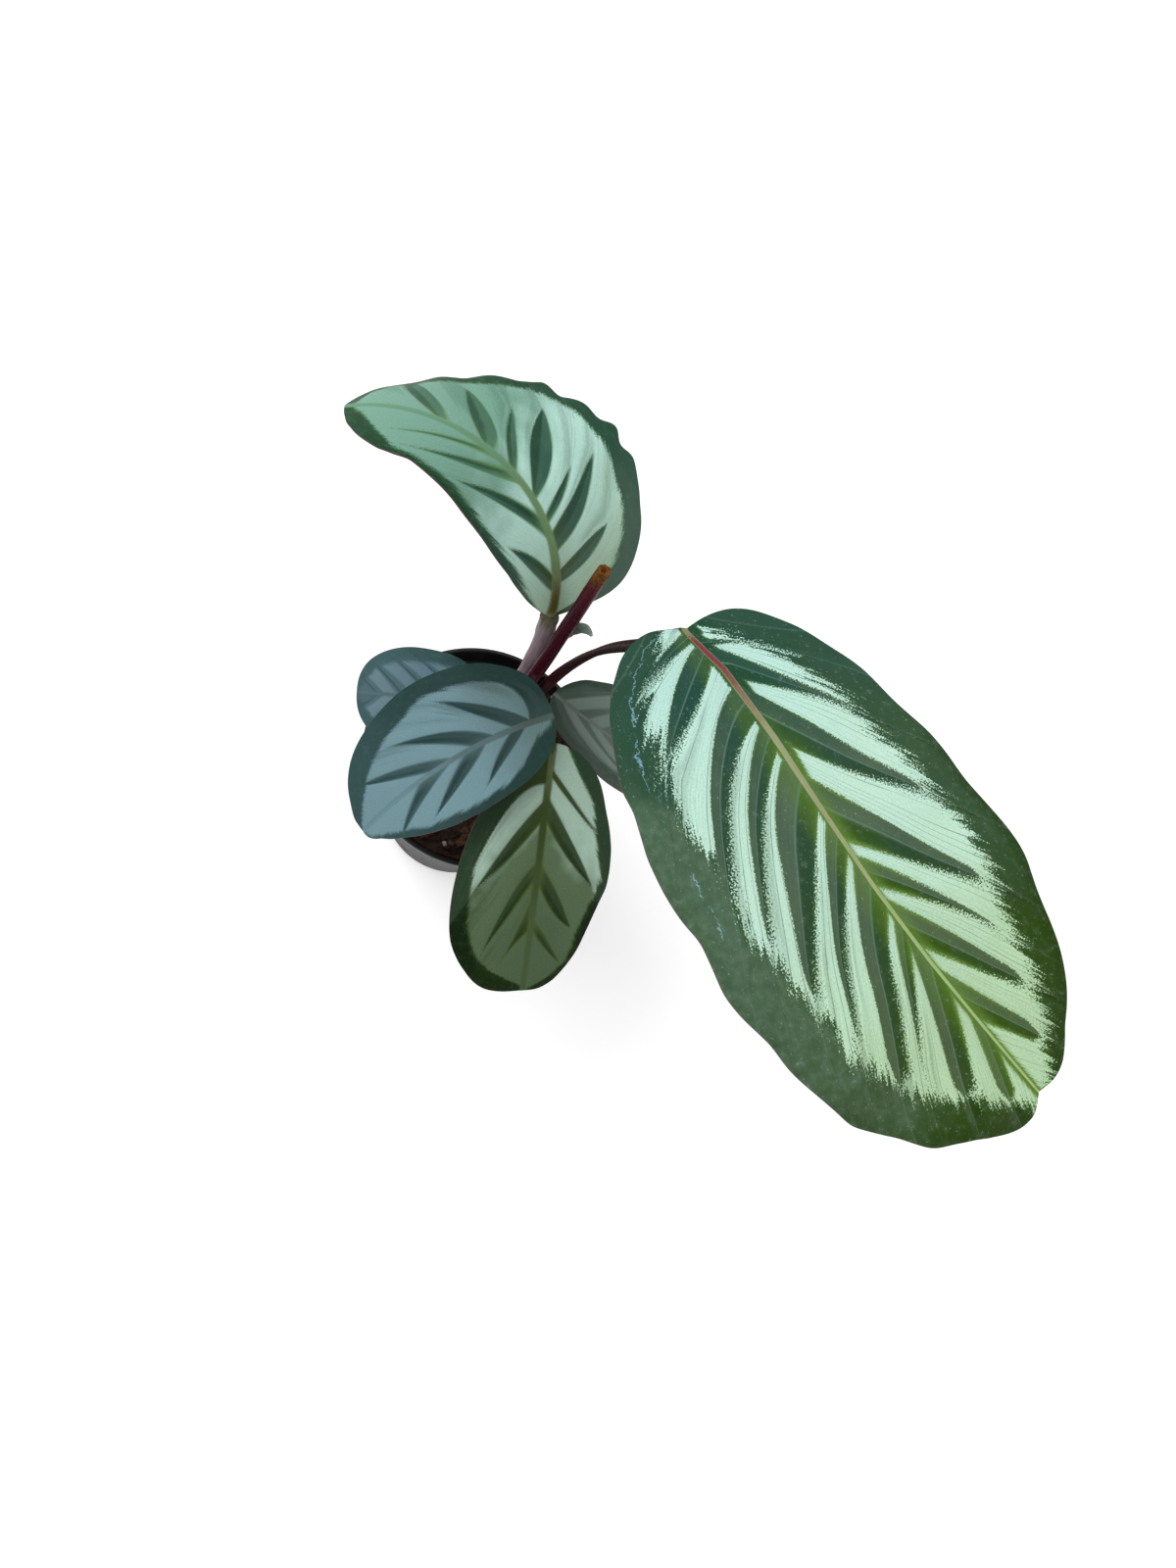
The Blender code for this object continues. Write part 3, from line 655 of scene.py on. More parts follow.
def midrib_frames(leaf, places):
    """Points and axes along the midrib, at fractions of its length.

    Rise runs through its base, middle and tip values on a parabola; heading and roll run
    straight from base to tip.  The tangent is summed along the length to give the points."""
    t = np.linspace(-0.15, 1.10, 501)
    base, middle, tip = leaf["rise"]
    rise = base + (4 * middle - 3 * base - tip) * t + 2 * (base - 2 * middle + tip) * t * t
    heading = leaf["heading"][0] + (leaf["heading"][1] - leaf["heading"][0]) * t
    roll = leaf["roll"][0] + (leaf["roll"][1] - leaf["roll"][0]) * t
    rise, heading, roll = (np.radians(v)[:, None] for v in (rise, heading, roll))
    along = np.hstack([np.cos(rise) * np.cos(heading), np.cos(rise) * np.sin(heading),
                       np.sin(rise)])
    level = np.hstack([-np.sin(heading), np.cos(heading), 0 * heading])
    left = level * np.cos(roll) + np.cross(along, level) * np.sin(roll)
    normal = np.cross(along, left)
    step = (along[1:] + along[:-1]) / 2 * (t[1] - t[0]) * leaf["length"]
    centre = np.vstack([np.zeros(3), np.cumsum(step, axis=0)])

    def read(values):
        return np.stack([np.interp(places, t, values[:, k]) for k in range(3)], axis=-1)

    start = np.array([np.interp(0.0, t, centre[:, k]) for k in range(3)])
    return read(centre) - start + np.array(leaf["base"]), read(along), read(left), read(normal)


def bezier(controls, count):
    """Points on the Bezier curve of any number of control points, by de Casteljau's rule."""
    t = np.linspace(0.0, 1.0, count)[:, None]
    level = [np.tile(np.array(c, dtype=float), (count, 1)) for c in controls]
    while len(level) > 1:
        level = [a * (1 - t) + b * t for a, b in zip(level[:-1], level[1:])]
    return level[0]


def end_way(path):
    """The unit vector along which a path ends."""
    return (path[-1] - path[-2]) / np.linalg.norm(path[-1] - path[-2])


def stalk_path(leaf):
    """The stalk's centre line: from the rhizome, by its guide points, up to the joint."""
    base, along, _, normal = (v[0] for v in midrib_frames(leaf, np.array([0.0])))
    arrive = 0.4 * along + np.array([0.0, 0.0, 0.9])
    arrive /= np.linalg.norm(arrive)
    if leaf["rise"][0] > UPRIGHT:
        reach = leaf["radius"] * math.sqrt(1 - np.dot(arrive, along) ** 2) + GAP
        end = base - along * reach - normal * 0.5 * RIB_THICKNESS
    else:
        tilt = math.sqrt(1 - np.dot(arrive, normal) ** 2)
        reach = RIB_THICKNESS + leaf["radius"] * tilt + GAP
        end = base + along * leaf["radius"] - normal * reach
    foot = np.array([*leaf["root"], RHIZOME_TOP - FOOT_SINK])
    end = end + STALK_REACH * arrive
    return bezier([foot, *leaf["via"], end - STALK_BEND * arrive, end], STALK_RINGS)


def with_elbow(leaf, path, radius):
    """The stalk's path and radii, with the bend that leads its joint into the midrib.

    The bend is a Bezier curve from the joint's top into the rib's underside; its radius
    shrinks in a straight line.  A blade that stands upright on its stalk has none."""
    if leaf["rise"][0] > UPRIGHT:
        return path, radius
    base, along, _, normal = (v[0] for v in midrib_frames(leaf, np.array([0.0])))
    inside = base + ELBOW_REACH * along - ELBOW_DEPTH * RIB_THICKNESS * normal
    bend = bezier([path[-1], path[-1] + ELBOW_BEND * end_way(path), inside], ELBOW_RINGS + 1)[1:]
    shrink = np.linspace(1.0, ELBOW_TIP, ELBOW_RINGS + 1)[1:, None]
    return np.vstack([path, bend]), np.vstack([radius, radius[-1:] * shrink])


def carried(path, radius):
    """Points and faces of round sections carried along a path, with closed ends.

    A section's first axis is +X made square to the path, its second is square to both, and
    a point is centre + radius (cos a first + sin a second).  radius has a row for each
    section and a column for each bearing."""
    tangent = np.gradient(path, axis=0)
    tangent /= np.linalg.norm(tangent, axis=1)[:, None]
    first = np.array([1.0, 0.0, 0.0]) - tangent * tangent[:, :1]
    first /= np.linalg.norm(first, axis=1)[:, None]
    second = np.cross(tangent, first)
    sides = radius.shape[1]
    angle = (2 * np.pi * np.arange(sides) / sides)[None, :, None]
    spoke = np.cos(angle) * first[:, None] + np.sin(angle) * second[:, None]
    rings = path[:, None] + radius[..., None] * spoke
    points = np.vstack([rings.reshape(-1, 3), path[:1], path[-1:]])
    return points, tube_faces(len(path), sides)


def bump_at(place, middle, half):
    """A smooth hump of height 1, exp(-((place - middle) / half) squared)."""
    return np.exp(-((place - middle) / half) ** 2)


def stalk_grid():
    """How far along a stalk its rings lie, and the bearings of its sides."""
    return (np.linspace(0, 1, STALK_RINGS)[:, None],
            (2 * np.pi * np.arange(STALK_SIDES) / STALK_SIDES)[None])


def stalk_radius(leaf, seed):
    """Radius over the stalk's length (rows) and bearings (columns).

    It narrows from the sheath to the slim part.  The sheath has a seam, a groove at one
    bearing; ten fine ribs run all the way.  The joint swells, with a crease below it, or is
    rounded off where the blade stands upright on it."""
    place, bearing = stalk_grid()
    waist, full = leaf["waist"], leaf["radius"]
    radius = np.interp(place, (0.0, 0.3, 0.45, 0.6, 1.0),
                       (STALK_BASE_RADIUS, 0.5 * (STALK_BASE_RADIUS + waist), waist, full, full))
    sheath = np.clip(1 - place / 0.42, 0, 1)
    seam = (bearing - 1.0 - 2.3 * seed) % (2 * np.pi)
    seam = np.minimum(seam, 2 * np.pi - seam)
    radius = radius * (1 + 0.30 * sheath * bump_at(seam, 0.45, 0.22)
                       - 0.32 * sheath * bump_at(seam, 0.0, 0.16))
    radius = radius * (1 + 0.018 * np.cos(10 * bearing))
    if leaf["rise"][0] > UPRIGHT:
        radius = radius * np.sqrt(np.clip(1 - ((place - 0.965) / 0.036).clip(0) ** 2, 0.04, 1))
    else:
        radius = radius * (1 + 0.20 * bump_at(place, 0.955, 0.030)
                           - 0.10 * bump_at(place, 0.905, 0.006) - 0.07 * bump_at(place, 0.995, 0.004))
    return radius * (1 + 0.05 * ripple(7 * place, 0.2 * bearing, 0, 1.0, 30 + seed))


def tag(piece, name, values):
    """Stores three numbers at each point of a piece's mesh, for its material to read."""
    store = piece.data.attributes.new(name, "FLOAT_VECTOR", "POINT")
    store.data.foreach_set("vector", np.asarray(values, np.float32).ravel())


def tag_run(piece, rings, sides):
    """Tags each point of a carried piece with how far along it lies, from 0 to 1."""
    run = np.append(np.repeat(np.linspace(0, 1, rings), sides), [0, 1])
    tag(piece, "run", np.stack([run, 0 * run, 0 * run], axis=1))


def stalk_skin(name, tones, wet=0.36):
    """Smooth plant skin in three tones along the stalk, with long streaks and fine specks."""
    material, shader, link = new_paint(name, 0.06)
    run, _, _ = link.told("run")
    place = link.node("TexCoord", output=3)
    x, y, z = place.parts()
    streak = link.noise(link.vector(x * 900.0, y * 900.0, z * 45.0), 1.0, 3.0)
    speck = link.noise(place, 1500.0, 2.0).rise(0.60, 0.72)
    foot, middle, top = (colour(*tone) for tone in tones)
    wander = run + (streak - 0.5) * 0.10
    tone = wander.rise(0.80, 0.98).mix(wander.rise(0.08, 0.42).mix(foot, middle), top)
    dark = link.node("Mix", {"data_type": "RGBA", "blend_type": "MULTIPLY"},
                     {0: streak.rise(0.35, 0.70) * 0.55, 6: tone, 7: (0.42, 0.34, 0.36, 1)}, 2)
    tone = (speck * 0.20).mix(dark, colour(150, 118, 112))
    feed(shader, Base_Color=tone, Roughness=wet + streak * 0.16,
         Normal=link.bump(streak, 0.35, 0.0002))
    return material


for seed, (leaf_name, leaf) in enumerate(LEAVES.items()):
    path, radius = with_elbow(leaf, stalk_path(leaf), stalk_radius(leaf, seed))
    stalk = make_piece(f"leaf_stalk_{leaf_name}", *carried(path, radius),
                       [stalk_skin(f"stalk_skin_{leaf_name}", STALK_TONES[leaf_name])], sharp=60.0)
    tag_run(stalk, len(path), STALK_SIDES)
    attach(stalk, "root")
    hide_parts(f"stalk_{leaf_name}")

# -------------------------------------------------------------------- the cut stalk
# What is left of a leaf that was cut away: a maroon stalk as thick as its neighbours,
# whose end has dried orange brown, shrunk and split round a hollow pith.
CUT_STALK_PATH = ((-0.0005, -0.0010, RHIZOME_TOP - FOOT_SINK), (0.001, -0.003, 0.140),
                  (0.0075, 0.003, 0.200), (0.0132, 0.0088, 0.268))
CUT_STALK_RADIUS = 0.0027
CUT_STALK_TONES = ((44, 6, 18), (62, 7, 27), (88, 26, 36))
DRIED_END = 0.935                # where along the stalk the dried part begins
# The sections of the hollow end: metres back from the end, and share of the last radius.
HOLLOW = ((0.0, 0.86), (0.0001, 0.68), (0.0004, 0.48), (0.0010, 0.34), (0.0016, 0.20))


def cut_stalk_surface():
    """A carried tube whose last part shrinks and wrinkles, and whose end dips inward: the
    last rings keep their place along the path and shrink to a hollow a little way back."""
    place, bearing = stalk_grid()
    radius = np.interp(place, (0.0, 0.45, 1.0), (STALK_BASE_RADIUS, CUT_STALK_RADIUS, CUT_STALK_RADIUS))
    dried = np.clip((place - DRIED_END) / (1 - DRIED_END), 0, 1)
    wrinkle = np.cos(7 * bearing + 3 * np.sin(20 * place)) + 0.6 * np.cos(12 * bearing + 1.0)
    radius = radius * (1 + 0.015 * np.cos(10 * bearing) - 0.16 * dried ** 0.5 + 0.05 * dried * wrinkle
                       + 0.04 * ripple(8 * place, 0.2 * bearing, 0, 1.0, 41))
    path = bezier(CUT_STALK_PATH, STALK_RINGS)
    back, shrink = (np.array(column)[:, None] for column in zip(*HOLLOW))
    path = np.vstack([path, path[-1] - end_way(path) * back])
    return path, np.vstack([radius, radius[-1:] * shrink])


def cut_stalk_points():
    """The carried tube, with the sections of the hollow end kept square to the stalk."""
    path, radius = cut_stalk_surface()
    outside, _ = carried(path[:STALK_RINGS], radius[:STALK_RINGS])
    count = STALK_RINGS * STALK_SIDES
    rim = outside[count - STALK_SIDES:count] - path[STALK_RINGS - 1]
    hollow = [path[k] + rim * (radius[k] / radius[STALK_RINGS - 1])[:, None]
              for k in range(STALK_RINGS, len(path))]
    points = np.vstack([outside[:count], *hollow, outside[count:count + 1], path[-1:]])
    return points, tube_faces(len(path), STALK_SIDES), len(path)


def dried_skin():
    """The stalk's skin, with a dried band at its end that goes from rust to pale straw."""
    material = stalk_skin("cut_stalk_skin", CUT_STALK_TONES, wet=0.30)
    shader = material.node_tree.nodes["Principled BSDF"]
    link = Link(material.node_tree)
    run, _, _ = link.told("run")
    place = link.node("TexCoord", output=3)
    mottle = link.noise(place, 800.0, 3.0)
    dried = (run + (mottle - 0.5) * 0.025).rise(DRIED_END - 0.012, DRIED_END + 0.018)
    straw = mottle.rise(0.35, 0.65).mix(colour(84, 54, 22), colour(124, 78, 36))
    skin = Link(material.node_tree, shader.inputs["Base Color"].links[0].from_socket)
    wet = Link(material.node_tree, shader.inputs["Roughness"].links[0].from_socket)
    feed(shader, Base_Color=dried.mix(skin, straw), Roughness=wet + dried * 0.35)
    return material


cut_points, cut_faces, cut_rings = cut_stalk_points()
cut_stalk = make_piece("cut_leaf_stalk", cut_points, cut_faces, [dried_skin()], sharp=50.0)
tag_run(cut_stalk, cut_rings, STALK_SIDES)
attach(cut_stalk, "root")
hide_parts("cut_stalk")

# -------------------------------------------------------------- the rolled young leaf
# A new leaf on its thin stalk, still rolled into a spear: grey green, with the free edge
# of the roll winding once round it.
YOUNG_LEAF_PATH = ((0.0042, 0.0090, RHIZOME_TOP - FOOT_SINK), (0.0100, 0.0125, 0.130),
                   (0.0112, 0.0160, 0.1995), (0.0150, 0.0132, 0.2255), (0.0186, 0.0026, 0.2303))
YOUNG_STALK_RADIUS = 0.0013
YOUNG_ROLL_RADIUS = 0.0022
YOUNG_TIP_RADIUS = 0.0006
YOUNG_TONES = ((70, 30, 44), (122, 132, 122), (152, 174, 166))


def young_leaf_radius():
    """The thin stalk, then the roll, whose radius steps down behind the free edge: a
    saw-tooth in bearing that winds round once from the roll's foot to its tip."""
    place, bearing = stalk_grid()
    radius = np.interp(place, (0.0, 0.65, 0.78, 0.9, 1.0),
                       (1.2 * YOUNG_STALK_RADIUS, YOUNG_STALK_RADIUS, YOUNG_ROLL_RADIUS,
                        0.8 * YOUNG_ROLL_RADIUS, YOUNG_TIP_RADIUS))
    turns = (bearing / (2 * np.pi) + (place - 0.66) / 0.34) % 1.0
    rolled = np.clip((place - 0.66) / 0.06, 0, 1)
    return radius * (1 + 0.20 * rolled * (turns - 0.5))


young_leaf = make_piece("rolled_young_leaf",
                        *carried(bezier(YOUNG_LEAF_PATH, STALK_RINGS), young_leaf_radius()),
                        [stalk_skin("young_leaf_skin", YOUNG_TONES, wet=0.42)], sharp=45.0)
tag_run(young_leaf, STALK_RINGS, STALK_SIDES)
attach(young_leaf, "root")
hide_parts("young_leaf")

# ------------------------------------------------------------------------ the blades
# Thin glossy leaves.  Pale silvery bands fan out from the midrib along the side veins and
# end in ragged teeth before a dark margin; the underside is dull wine red.  The surface
# rises over the pale bands, and the margin is gently waved.
EDGE_THICKNESS = 0.00045
RIB_HALF_WIDTH = 0.0022
BLADE_ROWS = 230
BLADE_COLUMNS = 46               # from the midrib to the margin
PLEAT_HEIGHT = 0.00028
WAVE_LENGTH = 0.023
LEAF_SPECULAR = 0.05
STRONG_VEINS = 2.7               # millimetres between the dark lines down a band
FINE_VEINS = 0.9

# How each blade is marked.  The first of two halves is the left one, seen along the way the
# leaf points; a fraction is of the midrib's length, from its base.
# veins: for each half, how strongly the side veins run forward to the tip, and how much they
#   bow near the base and near the tip.
# heights: for each half, the three distances from the midrib, in millimetres, at which the
#   edges of its bands are given.
# bands: for each half, a row for each pale band: its lower edge at the three heights and then
#   its upper edge, as fractions.
# reach: for each half, how far out the bands go, as (fraction, millimetres).
# start: millimetres from the midrib where bands begin, at the base and at the tip.
# close: for each half, how many millimetres the bands widen at their outer ends near the tip.
# ragged, soft: how long the teeth are, and how softly the bands end, in millimetres.
# by_band: 1 where tones follow the bands rather than the distance from the base.
# turns: the fractions over which the tones of the base give way to the middle ones, and
#   those to the tip's.
# lines: how strongly the veins are drawn.
# scars: pale scratches along the right margin, as (first and last fraction, millimetres
#   from the margin).
# rim: millimetres of dark green left at the margin of each half at least.
# rib: half width of the midrib at its base and at its tip, in millimetres.
# sway: how far the midrib wanders to the left, in millimetres, base to tip.
# wave: height of the margin's waves on each half, in metres.
# edge: for each half, how far the margin stands outside its smooth curve, as (fraction of its
#   run, millimetres).
PLAIN_MARKS = dict(
    veins=((2.7, 0.05, 0.05), (2.7, 0.05, 0.05)), start=((1.0, 0.5), (1.0, 0.5)),
    close=(0.0, 0.0), ragged=0.20, soft=0.42, by_band=0.0, turns=(0.08, 0.42, 0.45, 0.85),
    lines=0.15, scars=(), rim=(1.5, 1.5), sway=(0.0,) * 8, wave=(0.0003, 0.0003),
    edge=(((0, 0), (1, 0)), ((0, 0), (1, 0))))
MARKS = {
    "right": dict(
        PLAIN_MARKS,
        veins=((2.64, -0.16, 0.33), (2.83, 0.0, 0.04)), heights=((5, 15, 25), (5, 20, 35)),
        bands=(
            ((0.014, 0.072, 0.120, 0.045, 0.092, 0.140), (0.058, 0.098, 0.170, 0.075, 0.174, 0.277),
             (0.152, 0.214, 0.288, 0.190, 0.312, 0.435), (0.309, 0.395, 0.473, 0.385, 0.513, 0.646),
             (0.504, 0.590, 0.681, 0.540, 0.665, 0.827), (0.593, 0.688, 0.805, 0.640, 0.796, 0.980),
             (0.732, 0.849, 0.968, 0.805, 0.985, 1.160), (0.895, 1.020, 1.150, 1.200, 1.300, 1.400)),
            ((-0.023, 0.052, 0.110, 0.019, 0.062, 0.113), (0.042, 0.077, 0.112, 0.056, 0.125, 0.229),
             (0.104, 0.174, 0.221, 0.157, 0.236, 0.358), (0.225, 0.293, 0.408, 0.245, 0.337, 0.472),
             (0.296, 0.380, 0.493, 0.313, 0.417, 0.581), (0.423, 0.513, 0.618, 0.447, 0.559, 0.712),
             (0.507, 0.597, 0.718, 0.529, 0.654, 0.811), (0.623, 0.732, 0.888, 0.645, 0.777, 0.949),
             (0.684, 0.785, 0.901, 0.700, 0.890, 1.100), (0.814, 0.950, 1.050, 0.875, 1.090, 1.300),
             (0.955, 1.200, 1.500, 1.300, 1.500, 1.700))),
        reach=(((0.0, 5), (0.056, 9.5), (0.082, 13.5), (0.14, 18.5), (0.19, 20.2), (0.235, 23.3),
                (0.28, 25.5), (0.35, 26.2), (0.42, 28), (0.51, 29.3), (0.55, 30.5), (0.61, 29.5),
                (0.66, 27), (0.70, 26), (0.75, 23.5), (0.80, 21.5), (0.87, 17), (0.925, 13),
                (0.96, 9.5), (1.0, 4)),
               ((0.0, 11), (0.054, 17), (0.095, 25.5), (0.145, 31), (0.19, 32.5), (0.24, 36),
                (0.336, 40), (0.376, 37), (0.42, 39), (0.505, 42.5), (0.54, 40), (0.60, 40),
                (0.66, 38), (0.72, 37.5), (0.78, 34), (0.85, 27.5), (0.87, 25), (0.91, 17),
                (0.95, 12), (1.0, 4))),
        start=((3.6, 1.0), (2.0, 1.6)), scars=((0.004, 0.12, 9.0), (0.18, 0.235, 10.0)),
        sway=(-1.5, 1.5, 1.3, -0.2, -1.6, -1.7, -0.8, 0.0),
        ragged=1.0, soft=0.14, close=(2.6, 2.4), lines=1.0, rim=(0.0, 0.0), rib=(1.08, 0.34),
        wave=(0.0002, 0.0006),
        edge=(((0, 0), (0.07, 0.7), (0.15, 0), (0.3, -0.4), (0.45, -1.0), (0.52, -0.4), (0.6, 0.8),
               (0.66, 0.7), (0.75, 0), (0.82, -0.6), (0.9, -0.7), (0.95, 1.4), (0.975, 1.3), (1, 0)),
              ((0, 0), (0.03, -0.8), (0.06, 0), (0.1, 0), (0.15, -0.8), (0.22, -0.2), (0.3, 0),
               (0.325, -1.2), (0.35, -0.2), (0.38, 1.1), (0.41, 0.8), (0.45, -0.3), (0.475, -1.3),
               (0.5, 0), (0.53, 1.4), (0.56, 1.2), (0.6, 0.2), (0.64, 1.0), (0.7, 1.7), (0.72, 2.3),
               (0.75, 1.0), (0.78, 0), (0.82, 0.6), (0.85, -0.9), (0.88, -1.2), (0.91, 0),
               (0.95, 2.6), (0.975, 3.0), (1, 0)))),
    "back": dict(
        PLAIN_MARKS,
        veins=((3.2, 0.05, 0.05), (1.5, 0.0, 0.0)), heights=((4, 12, 20), (5, 20, 35)),
        bands=(
            ((0.030, 0.140, 0.300, 0.167, 0.307, 0.487), (0.248, 0.361, 0.435, 0.387, 0.537, 0.705),
             (0.466, 0.594, 0.693, 0.556, 0.688, 0.876), (0.612, 0.727, 0.857, 0.671, 0.867, 1.060),
             (0.716, 0.867, 1.000, 1.300, 1.400, 1.500)),
            ((0.030, 0.080, 0.130, 0.160, 0.190, 0.267), (0.216, 0.227, 0.211, 0.281, 0.306, 0.355),
             (0.348, 0.361, 0.368, 0.375, 0.395, 0.434), (0.401, 0.407, 0.399, 0.449, 0.461, 0.520),
             (0.489, 0.531, 0.532, 0.546, 0.573, 0.620), (0.580, 0.598, 0.595, 0.616, 0.652, 0.776),
             (0.674, 0.710, 0.720, 0.757, 0.822, 0.940), (0.811, 0.876, 0.888, 1.300, 1.400, 1.500))),
        reach=(((0.0, 4), (0.1, 8), (0.2, 12.5), (0.33, 16.6), (0.415, 19.5), (0.49, 21.4),
                (0.55, 22.3), (0.66, 22.3), (0.75, 21.4), (0.83, 20.9), (0.866, 20.6), (0.892, 17),
                (0.92, 12), (0.95, 5.3), (0.975, 1), (1.0, -3)),
               ((0.0, 4), (0.044, 8.4), (0.072, 16), (0.12, 25.4), (0.16, 30), (0.208, 34.5),
                (0.246, 37.9), (0.289, 39.7), (0.327, 42.8), (0.371, 45), (0.46, 45.5), (0.507, 44),
                (0.555, 42), (0.613, 38), (0.661, 35.5), (0.709, 33), (0.759, 31.2), (0.81, 28),
                (0.858, 22), (0.91, 20), (0.957, 14), (0.975, 1.8), (1.0, -3))),
        start=((2.0, 0.5), (1.5, 0.5)), ragged=0.30, soft=0.45, lines=0.3,
        turns=(0.08, 0.42, 0.42, 0.66), rim=(2.2, 1.3), rib=(1.9, 1.4), wave=(0.0001, 0.0003),
        edge=(((0, 0), (0.1, -0.3), (0.2, -1.0), (0.32, -1.2), (0.45, -0.3), (0.6, 0), (0.7, -0.5),
               (0.755, -0.9), (0.78, 1.0), (0.815, 2.0), (0.85, 1.0), (0.9, -0.7), (0.95, -0.9),
               (1, 0)),
              ((0, 0), (0.1, 0), (0.2, -0.5), (0.3, -1.2), (0.345, 1.0), (0.375, 2.8), (0.4, -0.6),
               (0.425, 4.2), (0.45, -0.6), (0.48, 1.6), (0.5, 0), (0.525, -3.0), (0.55, 1.0),
               (0.575, -1.8), (0.605, -3.6), (0.65, -1.2), (0.7, -2.8), (0.75, 0.6), (0.8, -0.8),
               (0.85, 0.8), (0.9, 2.2), (0.95, 1.0), (1, 0)))),
    "front": dict(
        PLAIN_MARKS,
        heights=((5, 12, 20), (5, 12, 20)),
        bands=(
            ((-0.008, 0.079, 0.178, 0.141, 0.208, 0.286), (0.170, 0.233, 0.301, 0.264, 0.359, 0.484),
             (0.359, 0.441, 0.517, 0.516, 0.628, 0.786), (0.617, 0.695, 0.738, 0.738, 0.846, 0.984),
             (0.791, 0.861, 0.924, 1.200, 1.300, 1.400)),
            ((0.174, 0.236, 0.374, 0.281, 0.382, 0.513), (0.366, 0.456, 0.546, 0.514, 0.659, 0.905),
             (0.607, 0.725, 0.872, 0.720, 0.925, 1.120), (0.792, 0.898, 1.060, 1.200, 1.300, 1.400))),
        reach=(((0.0, 6), (0.1, 12), (0.21, 21), (0.33, 23), (0.45, 25.5), (0.53, 27), (0.62, 24),
                (0.7, 21.5), (0.79, 19), (0.88, 16), (0.94, 10), (1.0, 0)),
               ((0.0, 4), (0.2, 11), (0.3, 17), (0.4, 22), (0.48, 25.5), (0.63, 25), (0.71, 25),
                (0.79, 23), (0.87, 19), (0.91, 14), (0.965, 2), (1.0, -3))),
        by_band=1.0, turns=(0.30, 0.50, 0.50, 0.85), rib=(1.6, 1.2),
        edge=(((0, 0), (0.3, 0), (0.42, 1.2), (0.5, 1.0), (0.55, 0.9), (0.6, 0), (0.73, -0.4),
               (0.82, 0), (0.9, 1.0), (0.95, 0.8), (1, 0)),
              ((0, 0), (0.7, 0), (0.8, -0.8), (0.88, 0), (1, 0)))),
    "left": dict(
        PLAIN_MARKS,
        veins=((2.7, 0.05, 0.05), (2.6, 0.05, 0.05)), heights=((4, 10, 18), (4, 10, 18)),
        bands=(
            ((0.030, 0.070, 0.150, 0.179, 0.278, 0.441), (0.254, 0.334, 0.410, 0.369, 0.494, 0.739),
             (0.483, 0.578, 0.694, 0.588, 0.749, 0.952), (0.712, 0.801, 0.892, 1.200, 1.300, 1.400)),
            ((0.098, 0.100, 0.151, 0.136, 0.210, 0.327), (0.224, 0.290, 0.369, 0.318, 0.427, 0.638),
             (0.429, 0.521, 0.654, 0.553, 0.719, 1.005), (0.672, 0.802, 0.945, 1.200, 1.300, 1.400))),
        reach=(((0.0, 2), (0.1, 6), (0.21, 14.7), (0.307, 18.8), (0.414, 20.2), (0.516, 20.4),
                (0.61, 19.2), (0.706, 17.9), (0.832, 11.7), (0.92, 7), (0.974, 4), (1.0, 0)),
               ((0.0, 9), (0.06, 14), (0.128, 17), (0.2, 21), (0.27, 23.5), (0.343, 25.6),
                (0.405, 27), (0.48, 28), (0.605, 24.5), (0.702, 21.8), (0.787, 18.2), (0.856, 13.5),
                (0.919, 8.2), (0.98, 2.8), (1.0, 0))),
        rim=(1.0, 1.0), rib=(1.2, 0.8),
        edge=(((0, 0), (0.6, 0), (0.7, -1.3), (0.8, -2.8), (0.9, -2.8), (0.96, -0.8), (1, 0)),
              ((0, 0), (0.9, 0), (0.95, 1.0), (1, 0)))),
}


def regular_marks(count, slant, out):
    """Marks for a small leaf: even bands on both halves, each slanted forward, whose outer
    end follows a round reach that is `out` millimetres at its widest."""
    rows = []
    for number in range(count):
        low = 0.10 + 0.86 * number / count
        high = low + 0.50 / count
        rows.append((low, low + 0.45 * slant, low + slant, high, high + 0.55 * slant,
                     high + 1.2 * slant))
    arc = [(q, out * (4 * q * (1 - q)) ** 0.5) for q in np.linspace(0, 1, 9).tolist()]
    return dict(PLAIN_MARKS, heights=((4, 11, 18), (4, 11, 18)), bands=(rows, rows),
                reach=(arc, arc), soft=0.70, lines=0.1, rib=(1.0, 0.5))


MARKS["low_right"] = regular_marks(5, 0.20, 21)
MARKS["low_left"] = regular_marks(4, 0.24, 17)

